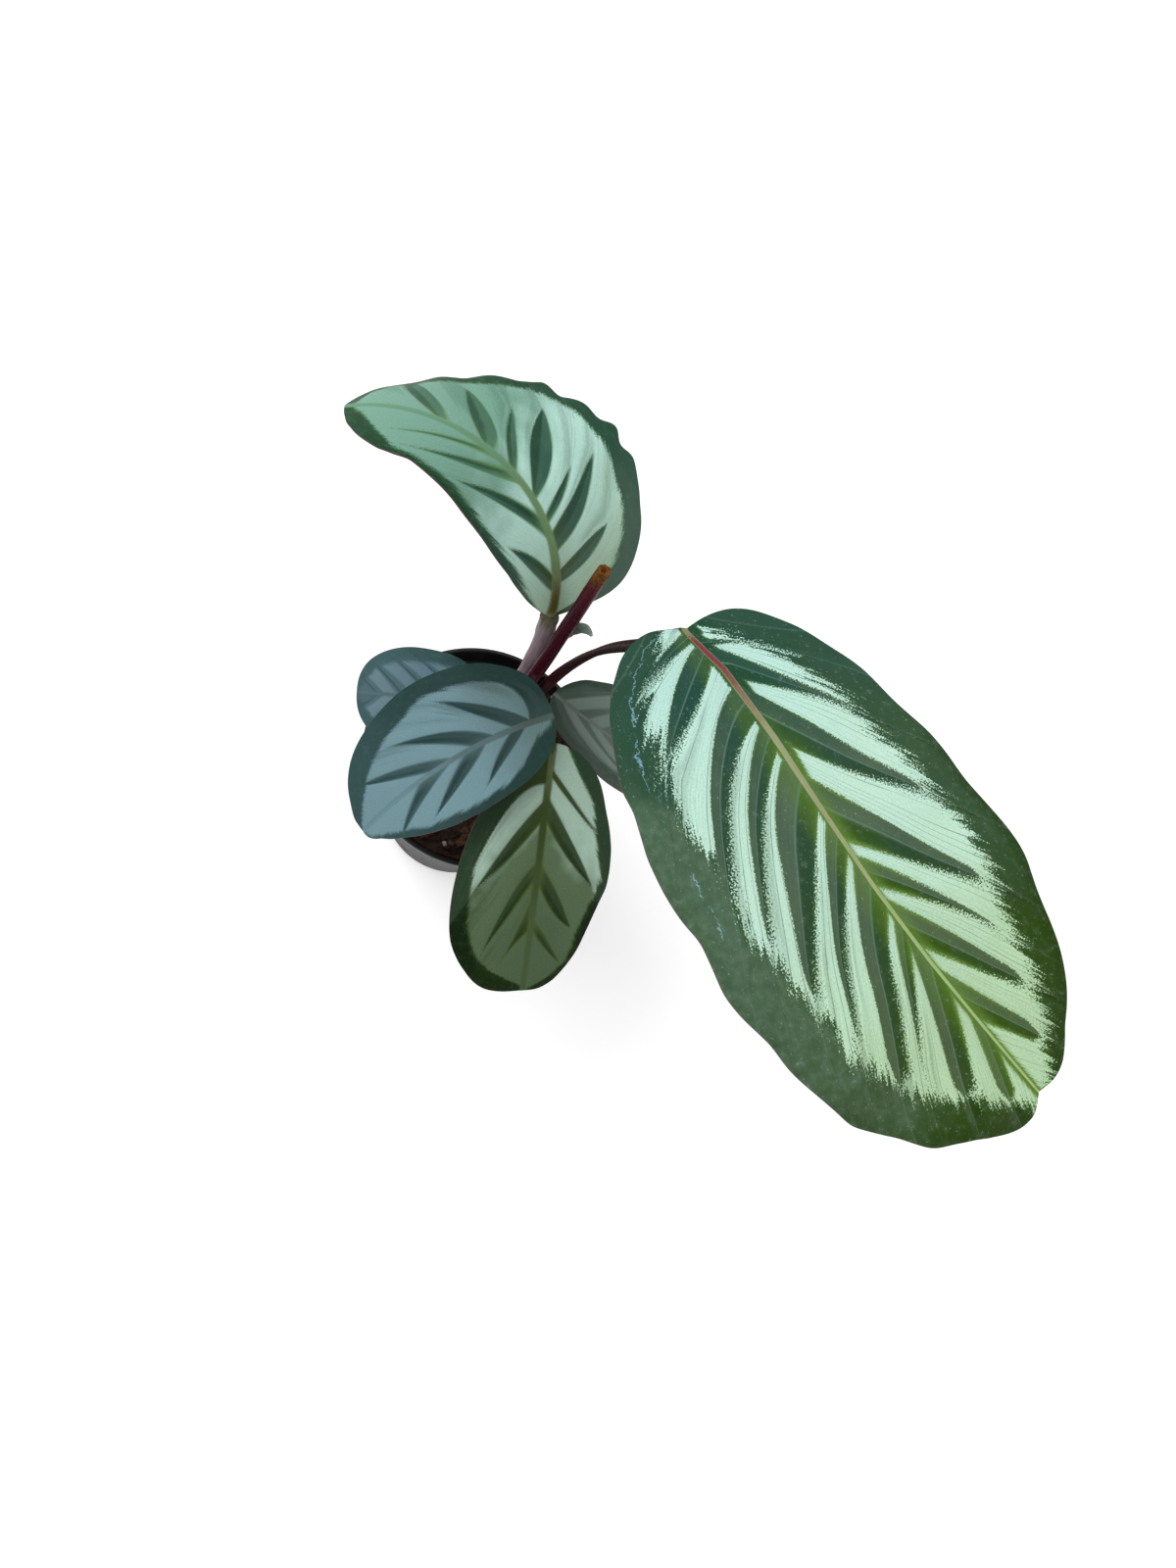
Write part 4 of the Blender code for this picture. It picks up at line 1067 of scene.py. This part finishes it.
# The tones of each blade, base, middle and tip: the pale bands; the dark gaps near the midrib
# and far from it; the grey sheen on one half of a gap; and the margin.  Then the fringe by
# the midrib, the deepest patches, and the midrib's core and its skin at base, middle and tip.
TONES = {
    # Painted reflection: the blue-green cast of the right leaf's base tones stands for a pale window
    # seen in its gloss; towards the tip they turn yellow-green.
    "right": dict(
        pale=((190, 230, 218), (196, 232, 212), (186, 219, 178)),
        near=((30, 70, 47), (61, 95, 38), (61, 91, 11)),
        far=((33, 72, 61), (47, 78, 59), (54, 80, 35)),
        sheen=((47, 82, 70), (90, 109, 88), (88, 106, 76)),
        edge=((43, 76, 59), (54, 82, 55), (44, 69, 15)),
        fringe=(101, 136, 56), deep=(30, 56, 5),
        rib=((126, 60, 66), (132, 136, 100), (152, 158, 118), (164, 190, 126))),
    # Painted light: the back leaf's tones, darks and margin too, are made lighter than its own colours
    # by a painted glare and stronger light on this leaf.
    "back": dict(
        pale=((176, 208, 182), (194, 236, 222), (122, 166, 148)),
        near=((70, 82, 36), (40, 76, 52), (58, 98, 66)),
        far=((70, 96, 72), (40, 76, 62), (50, 92, 72)),
        sheen=((84, 112, 94), (62, 100, 88), (80, 120, 98)),
        edge=((80, 104, 90), (42, 78, 60), (28, 66, 40)),
        fringe=(109, 152, 104), deep=(22, 56, 30),
        rib=((92, 86, 46), (134, 138, 90), (112, 146, 100), (102, 146, 116))),
    "front": dict(
        pale=((172, 202, 184), (92, 114, 84), (82, 102, 74)),
        near=((60, 78, 34), (44, 62, 26), (44, 62, 30)),
        far=((52, 72, 46), (34, 56, 30), (44, 64, 38)),
        sheen=((60, 80, 56), (52, 72, 46), (54, 74, 46)),
        edge=((44, 66, 46), (12, 30, 4), (22, 40, 10)),
        fringe=(84, 104, 54), deep=(10, 24, 3),
        rib=((104, 118, 80), (70, 86, 44), (58, 75, 36), (72, 92, 58))),
    # Painted reflection: the blue-grey cast of all the left leaf's tones is a pale sky reflected off
    # it, laid over its own green pattern.
    "left": dict(
        pale=((108, 135, 136), (120, 154, 162), (116, 148, 157)),
        near=((56, 76, 70), (46, 70, 69), (54, 80, 82)),
        far=((44, 65, 60), (38, 62, 63), (52, 78, 79)),
        sheen=((58, 80, 78), (56, 82, 84), (64, 92, 94)),
        edge=((40, 66, 61), (38, 65, 62), (52, 78, 78)),
        fringe=(90, 117, 120), deep=(26, 50, 46),
        rib=((84, 98, 88), (84, 104, 102), (92, 115, 118), (106, 136, 144))),
    "low_right": dict(
        pale=((110, 126, 118), (120, 136, 129), (114, 130, 121)),
        near=((68, 85, 74), (92, 107, 99), (94, 108, 100)),
        far=((66, 83, 73), (90, 104, 96), (92, 105, 97)),
        sheen=((70, 87, 77), (94, 110, 102), (96, 110, 102)),
        edge=((50, 67, 56), (66, 82, 72), (68, 84, 74)),
        fringe=(92, 108, 98), deep=(56, 72, 60),
        rib=((96, 108, 98), (102, 116, 107), (104, 118, 109), (100, 114, 104))),
    # Painted reflection: the blue-grey cast of all the low left leaf's tones is a pale sky reflected
    # off it, laid over its own green pattern.
    "low_left": dict(
        pale=((104, 130, 136), (100, 130, 142), (110, 138, 148)),
        near=((72, 98, 101), (80, 108, 115), (84, 113, 120)),
        far=((64, 90, 92), (70, 100, 106), (78, 108, 114)),
        sheen=((72, 99, 102), (80, 110, 116), (84, 114, 120)),
        edge=((44, 68, 68), (58, 85, 87), (68, 97, 99)),
        fringe=(80, 107, 113), deep=(32, 56, 56),
        rib=((76, 96, 98), (80, 102, 106), (86, 110, 115), (90, 114, 121))),
}
# How rough each upper side is: less is glossier.
GLOSS = {"right": 0.36, "back": 0.44, "front": 0.46, "left": 0.44, "low_right": 0.48,
         "low_left": 0.48}


def vein_paths(leaf, marks, side, u, v):
    """Flat places (x along the midrib, y out from it) on the side vein that leaves the
    midrib at fraction u, at fraction v of the way out.

    The vein ends on the margin at 1 - (1 - u)^k and is a quadratic Bezier whose middle
    point is pushed square to the straight line by its bow.  The margin's half width is its
    full value times (g / peak)^base ((1 - g) / (1 - peak))^tip, and a lobe moves the base
    end back behind the stalk."""
    k, bow_base, bow_tip = marks["veins"][side]
    base, tip = leaf["round_base"][side], leaf["round_tip"][side]
    peak = base / (base + tip)
    grown = 1 - (1 - u) ** k
    wide = leaf["width"][side] * (grown / peak) ** base * ((1 - grown) / (1 - peak)) ** tip
    edge = leaf["length"] * (grown - leaf["lobe"][side] * np.sqrt(grown) * (1 - grown) ** 3)
    root = leaf["length"] * u
    bow = bow_base + bow_tip * u
    middle_x = root + 0.5 * (edge - root) - bow * wide
    middle_y = 0.5 * wide + bow * (edge - root)
    x = (1 - v) ** 2 * root + 2 * v * (1 - v) * middle_x + v * v * edge
    y = 2 * v * (1 - v) * middle_y + v * v * wide
    return x, y


def moved_margin(x, y, v, edge):
    """The places of one half with its margin moved out by the given millimetres at the given
    fractions of its run, joined smoothly; the places inside follow with the cube of v."""
    along_x, along_y = np.gradient(x[:, -1]), np.gradient(y[:, -1])
    step = np.maximum(np.hypot(along_x, along_y), 1e-9)
    run = np.cumsum(step) - step[0]
    run = run / run[-1]
    place, out = np.array(edge).T
    weight = np.hanning(15) / np.hanning(15).sum()
    fine = np.convolve(np.interp(np.linspace(0, 1, 401), place, out), weight, mode="same")
    push = (0.001 * np.interp(run, np.linspace(0, 1, 401), fine) / step)[:, None] * v ** 3
    return x - push * along_y[:, None], y + push * along_x[:, None]


def band_field(leaf, marks, side, x, y):
    """What each place knows of the bands: how far inside one it lies, in millimetres, how far
    inside their reach, its phase, and its run.

    A band's edge is the parabola through its three given places.  The phase counts edges
    from the base, so a band lies between an even number and the next, and a gap between an
    odd number and the next.  The run is the same count in millimetres of the midrib, with
    each step as wide as the band or gap is at the middle height."""
    out, length = y * 1000, leaf["length"] * 1000
    q = x / leaf["length"]
    heights = marks["heights"][side]
    rows = [row[k:k + 3] for row in marks["bands"][side] for k in (0, 3)]
    lines = [np.polyfit(heights, row, 2) for row in rows]
    inside = np.full(x.shape, -30.0)
    for lower, upper in zip(lines[::2], lines[1::2]):
        low, high = np.polyval(lower, out), np.polyval(upper, out)
        slope = length * np.polyval(np.polyder((lower + upper) / 2), out)
        square = length / np.sqrt(1 + slope ** 2)
        inside = np.maximum(inside, np.minimum(q - low, high - q) * square)
    order = 0.004 * np.arange(len(lines))[:, None, None]
    edges = np.maximum.accumulate(np.array([np.polyval(one, out) for one in lines]) - order) + order
    middle = np.maximum.accumulate([row[1] for row in rows])
    share = np.clip((q - edges[:-1]) / np.diff(edges, axis=0), 0, 1)
    before, after = np.minimum(q - edges[0], 0), np.maximum(q - edges[-1], 0)
    phase = share.sum(axis=0) + (before + after) / 0.06
    run = middle[0] + np.tensordot(np.diff(middle), share, 1) + before + after
    fraction, limit = np.array(marks["reach"][side]).T
    reach = np.interp(np.clip(q, 0, 1), fraction, limit) - out
    return np.clip(inside, -30, 30), reach, phase, run * length


def blade_rows(leaf, marks):
    """Fractions of the midrib for the rows of the grid, closer where the margin turns: even
    steps of the midrib's length plus that of both margins."""
    fine = np.linspace(0, 1, 3001)
    gone = fine * leaf["length"]
    for side in (0, 1):
        x, y = vein_paths(leaf, marks, side, fine, 1.0)
        gone = gone + np.append(0, np.cumsum(np.hypot(np.diff(x), np.diff(y))))
    return np.interp(np.linspace(0, gone[-1], BLADE_ROWS), gone, fine)


def blade_points(leaf, marks, seed):
    """The upper and lower points of a blade as grids, rows from base to tip and columns
    from the left margin over the midrib to the right margin, with what its paint reads.

    A flat place (x, y) goes to the midrib's point at x, plus y along the leaf's left axis
    and up its normal by the fold.  Relief is added along the normal: the pleats, a raised
    midrib, soft hollows, and waves that grow towards the margin."""
    u = blade_rows(leaf, marks)[:, None]
    v = np.linspace(0, 1, BLADE_COLUMNS + 1)[None] ** 1.15
    length = leaf["length"]
    grids = []
    for side, sign in ((0, 1), (1, -1)):
        x, y = moved_margin(*vein_paths(leaf, marks, side, u, v), v, marks["edge"][side])
        inside, reach, phase, run = band_field(leaf, marks, side, x, y)
        margin = np.hypot(x[:, -1:] - x, y[:, -1:] - y)
        start = np.interp(x / length, (0.25, 0.45), marks["start"][side])
        wide = leaf["width"][side]
        lift = math.radians(leaf["fold"]) + 0.5 * leaf["cup"] * y / wide
        pleat = PLEAT_HEIGHT * np.tanh(inside / 1.2) * np.clip(y / 0.006, 0, 1)
        pleat = pleat * np.clip(margin / 0.006, 0, 1)
        wave = np.sin(2 * np.pi * (x + 0.3 * y) / WAVE_LENGTH + seed + 2 * side
                      + 1.1 * np.sin(60 * x))
        hump = pleat + marks["wave"][side] * wave * v ** 3 * np.clip((1 - u) * 12, 0, 1)
        hump = hump + 0.0010 * ripple(x, sign * y, 0, 0.045, 50 + seed) * np.clip(y / 0.02, 0, 1)
        grids.append(dict(x=x, y=y, sign=sign, lift=lift, hump=hump, inside=inside, reach=reach,
                          phase=phase, run=run, margin=margin, start=start, v=v + 0 * x,
                          u=u + 0 * x))

    def both(name):
        left, right = grids[0][name], grids[1][name]
        return np.hstack([left[:, :0:-1], right])

    x, y, u, v = both("x"), both("y"), both("u"), both("v")
    sign = np.hstack([np.ones(BLADE_COLUMNS), -np.ones(BLADE_COLUMNS + 1)])[None]
    sway = np.interp(u, np.array([0, 0.10, 0.25, 0.40, 0.55, 0.70, 0.85, 1.0]), marks["sway"])
    flat_y = sign * y + 0.001 * sway * (1 - v) ** 2
    centre, _, left, normal = midrib_frames(leaf, x / length)
    lift = both("lift")
    top = (centre + left * (flat_y * np.cos(lift))[..., None]
           + normal * (np.abs(flat_y) * np.sin(lift))[..., None])
    slim = 1 - 0.7 * u
    rib = 0.00022 * slim * np.exp(-(y / 0.0011) ** 2) - 0.00012 * slim * np.exp(-(y / 0.00035) ** 2)
    top = top + normal * (both("hump") + rib)[..., None]
    keel = (RIB_THICKNESS - EDGE_THICKNESS) * slim * np.exp(-(y / RIB_HALF_WIDTH) ** 2)
    bottom = top - normal * (EDGE_THICKNESS + keel + rib)[..., None]
    told = dict(vein=np.stack([both("run"), u, both("margin") * 1000], axis=-1),
                figure=np.stack([both("inside"), both("reach"), both("phase")], axis=-1),
                flat=np.stack([x * 1000, sign * y * 1000, both("start")], axis=-1))
    return top, bottom, told


def closed_sheet(top, bottom):
    """One closed surface from two grids of points: each grid's first and last rows are
    single points, and a strip joins the two grids all round the margin."""
    rows, columns = top.shape[0] - 2, top.shape[1]
    under = rows * columns + 2
    parts = []
    for side in (top, bottom):
        parts += [side[0, :1], side[1:-1].reshape(-1, side.shape[-1]), side[-1, :1]]
    sheet = grid_faces(rows, columns, first=1)
    last = under - 1
    tail = 1 + (rows - 1) * columns
    sheet += [(0, 2 + c, 1 + c) for c in range(columns - 1)]
    sheet += [(last, tail + c, tail + c + 1) for c in range(columns - 1)]
    right_edge = [columns + row * columns for row in range(rows)]
    left_edge = [1 + row * columns for row in reversed(range(rows))]
    edge = [0, *right_edge, last, *left_edge]
    wall = [(a, a + under, b + under, b) for a, b in zip(edge, edge[1:] + edge[:1])]
    faces = sheet + [[p + under for p in reversed(face)] for face in sheet] + wall
    return np.vstack(parts), faces, len(sheet)


def upper_side(name, leaf, marks, tones, gloss):
    """The painted upper side, from what the mesh tells about each place.

    Pale bands lie where the band field and the reach are both positive.  Noise drawn out
    along the side veins moves the reach, so that a band ends in fingers of many lengths;
    noise as fine as the leaf's cells frays its sides, most where they face the base far
    from the midrib.  Dark vein lines run down the bands.  Each gap is grey on its base
    half and deep green on its other half, with a thin light vein between."""
    material, shader, link = new_paint(name, LEAF_SPECULAR)
    length = leaf["length"] * 1000
    crisp, lines = marks["ragged"], marks["lines"]
    run, u, margin = link.told("vein")
    inside, reach, phase = link.told("figure")
    x, y, start = link.told("flat")
    out = abs(y)
    right_half = y.rise(0.1, -0.1)

    def spots(scale, detail=2.0, rough=0.6):
        """Even noise with `scale` cells to a millimetre."""
        return link.noise(link.vector(x, y), scale, detail, rough, flat=True)

    def along(fine, stretch, detail=2.0):
        """Noise with `fine` cells to a millimetre across the veins, each `stretch` times as
        long as it is wide."""
        return link.noise(link.vector(run * fine, y * (fine / stretch)), 1.0, detail, 0.6, flat=True)

    def from_base(group):
        """One of the blade's groups of three tones, mixed from base to tip."""
        first, second, third = (colour(*tone) for tone in tones[group])
        lower_part = stage.rise(*marks["turns"][:2]).mix(first, second)
        return stage.rise(*marks["turns"][2:]).mix(lower_part, third)

    soft = spots(0.07, 2.0, 0.5)
    cells = spots(2.0, 2.0)
    tip = x / length + (soft - 0.5) * 0.2
    stage = tip + (run - x) * (marks["by_band"] / length)
    turn = (phase * 0.5).fraction() * 2
    base_facing = abs(turn - 1).rise(0.40, 0.75)
    grain, strips, fingers = along(3.0, 6.0), along(0.9, 14.0), along(0.33, 12.0)

    outward = reach + (fingers - 0.5) * (11.0 * crisp) + (along(1.4, 5.0) - 0.5) * (8.0 * crisp)
    fray = (0.8 + base_facing * out.rise(6.0, 18.0) * 2.2) * crisp
    left_rim, right_rim = marks["rim"]
    outward = outward.lesser(margin - left_rim + right_half * (left_rim - right_rim))
    near_end = outward.rise(9.0, 0.0)
    stipple = (cells - 0.5) * fray * (1.7 + near_end * 2.2)
    left_close, right_close = marks["close"]
    inside = inside + (reach + (strips - 0.5) * 3.0).rise(5.5, 0.0) * tip.rise(0.35, 0.6) * (
        left_close + right_half * (right_close - left_close))
    begin = (out - start) * 0.7 + (strips - 0.5) * 1.2
    ends = outward * 0.5 + (cells - 0.5) * (5.0 * crisp)
    depth = (inside - 0.1 + stipple + (strips - 0.5) * 0.8).lesser(ends.lesser(begin))
    pale = depth.rise(-marks["soft"], marks["soft"])

    beyond = (reach + (strips - 0.5) * 8.0).rise(1.5, -3.0)
    grey_half = turn.rise(0.93, 1.05) * (turn + (strips - 0.5) * 0.3).rise(1.58, 1.42)
    gap = (out + (strips - 0.5) * 6.0).rise(3.0, 13.0).mix(from_base("near"), from_base("far"))
    gap = (grey_half * (0.20 + soft * 0.45 + strips * 0.35 + (grain - 0.5) * (0.5 * lines))).mix(
        gap, from_base("sheen"))
    dark = beyond.mix(gap, from_base("edge"))
    dark = (grey_half * beyond * (0.22 * lines)).mix(dark, from_base("sheen"))
    deep = (turn + (soft - 0.5) * 1.2).rise(1.55, 1.85) * beyond * tip.rise(0.15, 0.4)
    deep = (deep * reach.rise(-14.0, -4.0) * lines
            + (1 - abs(turn - 1.75).rise(0.1, 0.3)) * (1 - beyond) * 0.5 * tip.rise(0.2, 0.5))
    deep = deep.greater(margin.rise(6.0, 1.0) * tip.rise(0.3, 0.5) * (0.75 * lines))
    dark = (deep * 0.75).mix(dark, colour(*tones["deep"]))
    mottle = spots(0.35, 3.0)
    dark = (mottle.rise(0.45, 0.75) * 0.22).mix(dark, from_base("sheen"))
    # Painted sheen: a lighter grey-green mottle on the right half's margin, from about a fifth of the
    # midrib's length to near the tip.
    painted_margin_sheen = beyond * right_half * tip.rise(0.20, 0.34) * tip.rise(0.95, 0.70) * (0.05 + mottle * 0.6)
    dark = (painted_margin_sheen * lines ** 2).mix(dark, colour(104, 130, 108))
    light_vein = abs(turn - 1.5).rise(0.05, 0.015) * (0.25 + strips * 0.3) * (1 - beyond * 0.5)
    dark = (light_vein * lines ** 2).mix(dark, colour(112, 140, 128))

    bright = from_base("pale")
    place = run * (1 / STRONG_VEINS) + (along(0.12, 20.0) - 0.5) * 0.5
    apart = abs(place.fraction() - 0.5) * STRONG_VEINS
    slit = along(0.6, 12.0).rise(0.60, 0.74) * 0.28
    present = along(0.25, 60.0).rise(0.38, 0.55) * 0.8 + 0.2
    vein_line = (apart - slit).rise(0.15, 0.06) * (0.38 + grain * 0.35) * present * lines
    faint_line = abs((run * (1 / FINE_VEINS)).fraction() - 0.5).rise(0.22, 0.08) * 0.06 * lines
    shade = from_base("far")
    bright = vein_line.greater(faint_line).mix(bright, shade)
    haze = base_facing * out.rise(9.0, 18.0) * right_half * (fingers + 0.1).rise(0.45, 0.65)
    bright = (haze * 0.30 + grain.rise(0.4, 0.8) * 0.10 + (1 - cells.rise(0.25, 0.55)) * 0.14).mix(
        bright, shade)
    bright = (cells.rise(0.58, 0.75) * 0.25 * lines).mix(bright, colour(236, 250, 242))
    by_rib = (out + (strips - 0.5) * 6.0).rise(13.0, 2.0) * tip.rise(0.15, 0.45) * (1 - beyond)
    fringe = colour(*tones["fringe"])
    dark = (depth.rise(-1.4, -0.1) * by_rib * 0.60 + depth.rise(-0.6, -0.1) * 0.36).mix(dark, fringe)
    dark = (out.rise(4.5, 0.8) * by_rib * (0.6 - right_half * 0.3)).mix(dark, fringe)
    dark = (out.rise(11.0, 4.0) * right_half * (0.22 * lines) * (1 - beyond)).mix(dark, fringe)
    bright = (depth.rise(0.7, 0.0) * (0.12 + by_rib * 0.3)).mix(bright, fringe)
    tone = pale.mix(dark, bright)

    rib_base, rib_tip = marks["rib"]
    half = rib_base + (rib_tip - rib_base) * (x / length)
    core_tone, skin_base, skin_middle, skin_tip = (colour(*one) for one in tones["rib"])
    rib = (out / half + (grain - 0.5) * 0.2).rise(1.5 - 0.35 * lines, 0.5 + 0.35 * lines)
    skin = tip.rise(0.40, 0.75).mix(tip.rise(0.05, 0.30).mix(skin_base, skin_middle), skin_tip)
    core = (out / half).rise(0.95, 0.62) * (tip + (grain - 0.5) * 0.1).rise(0.26, 0.08)
    core = core * (x + (grain - 0.5) * 4.0).rise(1.5, 5.0)
    tone = rib.mix(tone, core.mix(skin, core_tone))

    speck = spots(0.9, 4.0, 0.75).rise(0.655, 0.70) + mottle.rise(0.66, 0.74) * (
        1 - abs(spots(0.8, 3.0, 0.7) - 0.5).rise(0.01, 0.04)) * 0.8
    speck = speck * (1 - pale) * (1 - rib) * (0.4 * lines)
    tone = speck.mix(tone, colour(160, 188, 186))
    for low, high, inset in marks["scars"]:
        scar = abs(margin + (spots(0.16, 4.0, 0.8) - 0.5) * 9.0 - inset).rise(0.34, 0.14)
        scar = scar * u.rise(low, low + 0.004) * u.rise(high, high - 0.01) * right_half
        scar = scar * spots(0.35).rise(0.36, 0.46)
        tone = (scar * 0.75).mix(tone, colour(132, 182, 200))

    rough = gloss + (cells - 0.5) * 0.10 + pale * 0.08 + speck * 0.3
    height = grain * 0.4 + strips * 0.7 + cells * 0.25 - vein_line * 0.8 - speck * 0.5
    feed(shader, Base_Color=tone, Roughness=rough, Normal=link.bump(height, 0.5, 0.00025))
    return material


def under_side():
    """The dull wine red underside, paler and greener along its keel and veins."""
    material, shader, link = new_paint("leaf_underside")
    run, u, _ = link.told("vein")
    x, y, _ = link.told("flat")
    inside, reach, _ = link.told("figure")
    fine = link.noise(link.vector(run * 300.0, u * 2.0), 1.0, 2.0, 0.6, flat=True)
    cloud = link.noise(link.vector(x, y), 0.12, 3.0, 0.6, flat=True)
    tone = cloud.rise(0.3, 0.7).mix(colour(88, 42, 58), colour(104, 58, 68))
    tone = (inside.rise(-0.6, 0.8) * reach.rise(-2.0, 3.0) * 0.45).mix(tone, colour(142, 108, 104))
    tone = (fine.rise(0.5, 0.75) * 0.35).mix(tone, colour(70, 34, 46))
    tone = abs(y).rise(2.4, 0.9).mix(tone, colour(136, 118, 84))
    feed(shader, Base_Color=tone, Roughness=0.52 + cloud * 0.15,
         Normal=link.bump(fine, 0.4, 0.0002))
    return material


underside = under_side()
for seed, (leaf_name, leaf) in enumerate(LEAVES.items()):
    marks = MARKS[leaf_name]
    top, bottom, told = blade_points(leaf, marks, seed)
    points, faces, sheet_count = closed_sheet(top, bottom)
    skin = upper_side(f"leaf_upper_{leaf_name}", leaf, marks, TONES[leaf_name], GLOSS[leaf_name])
    below = np.arange(len(faces)) >= sheet_count
    blade = make_piece(f"leaf_blade_{leaf_name}", points, faces, [skin, underside], sharp=70.0,
                       face_finish=below)
    for attribute, grid in told.items():
        tag(blade, attribute, closed_sheet(grid, grid)[0])
    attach(blade, "root")
    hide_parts(f"blade_{leaf_name}")
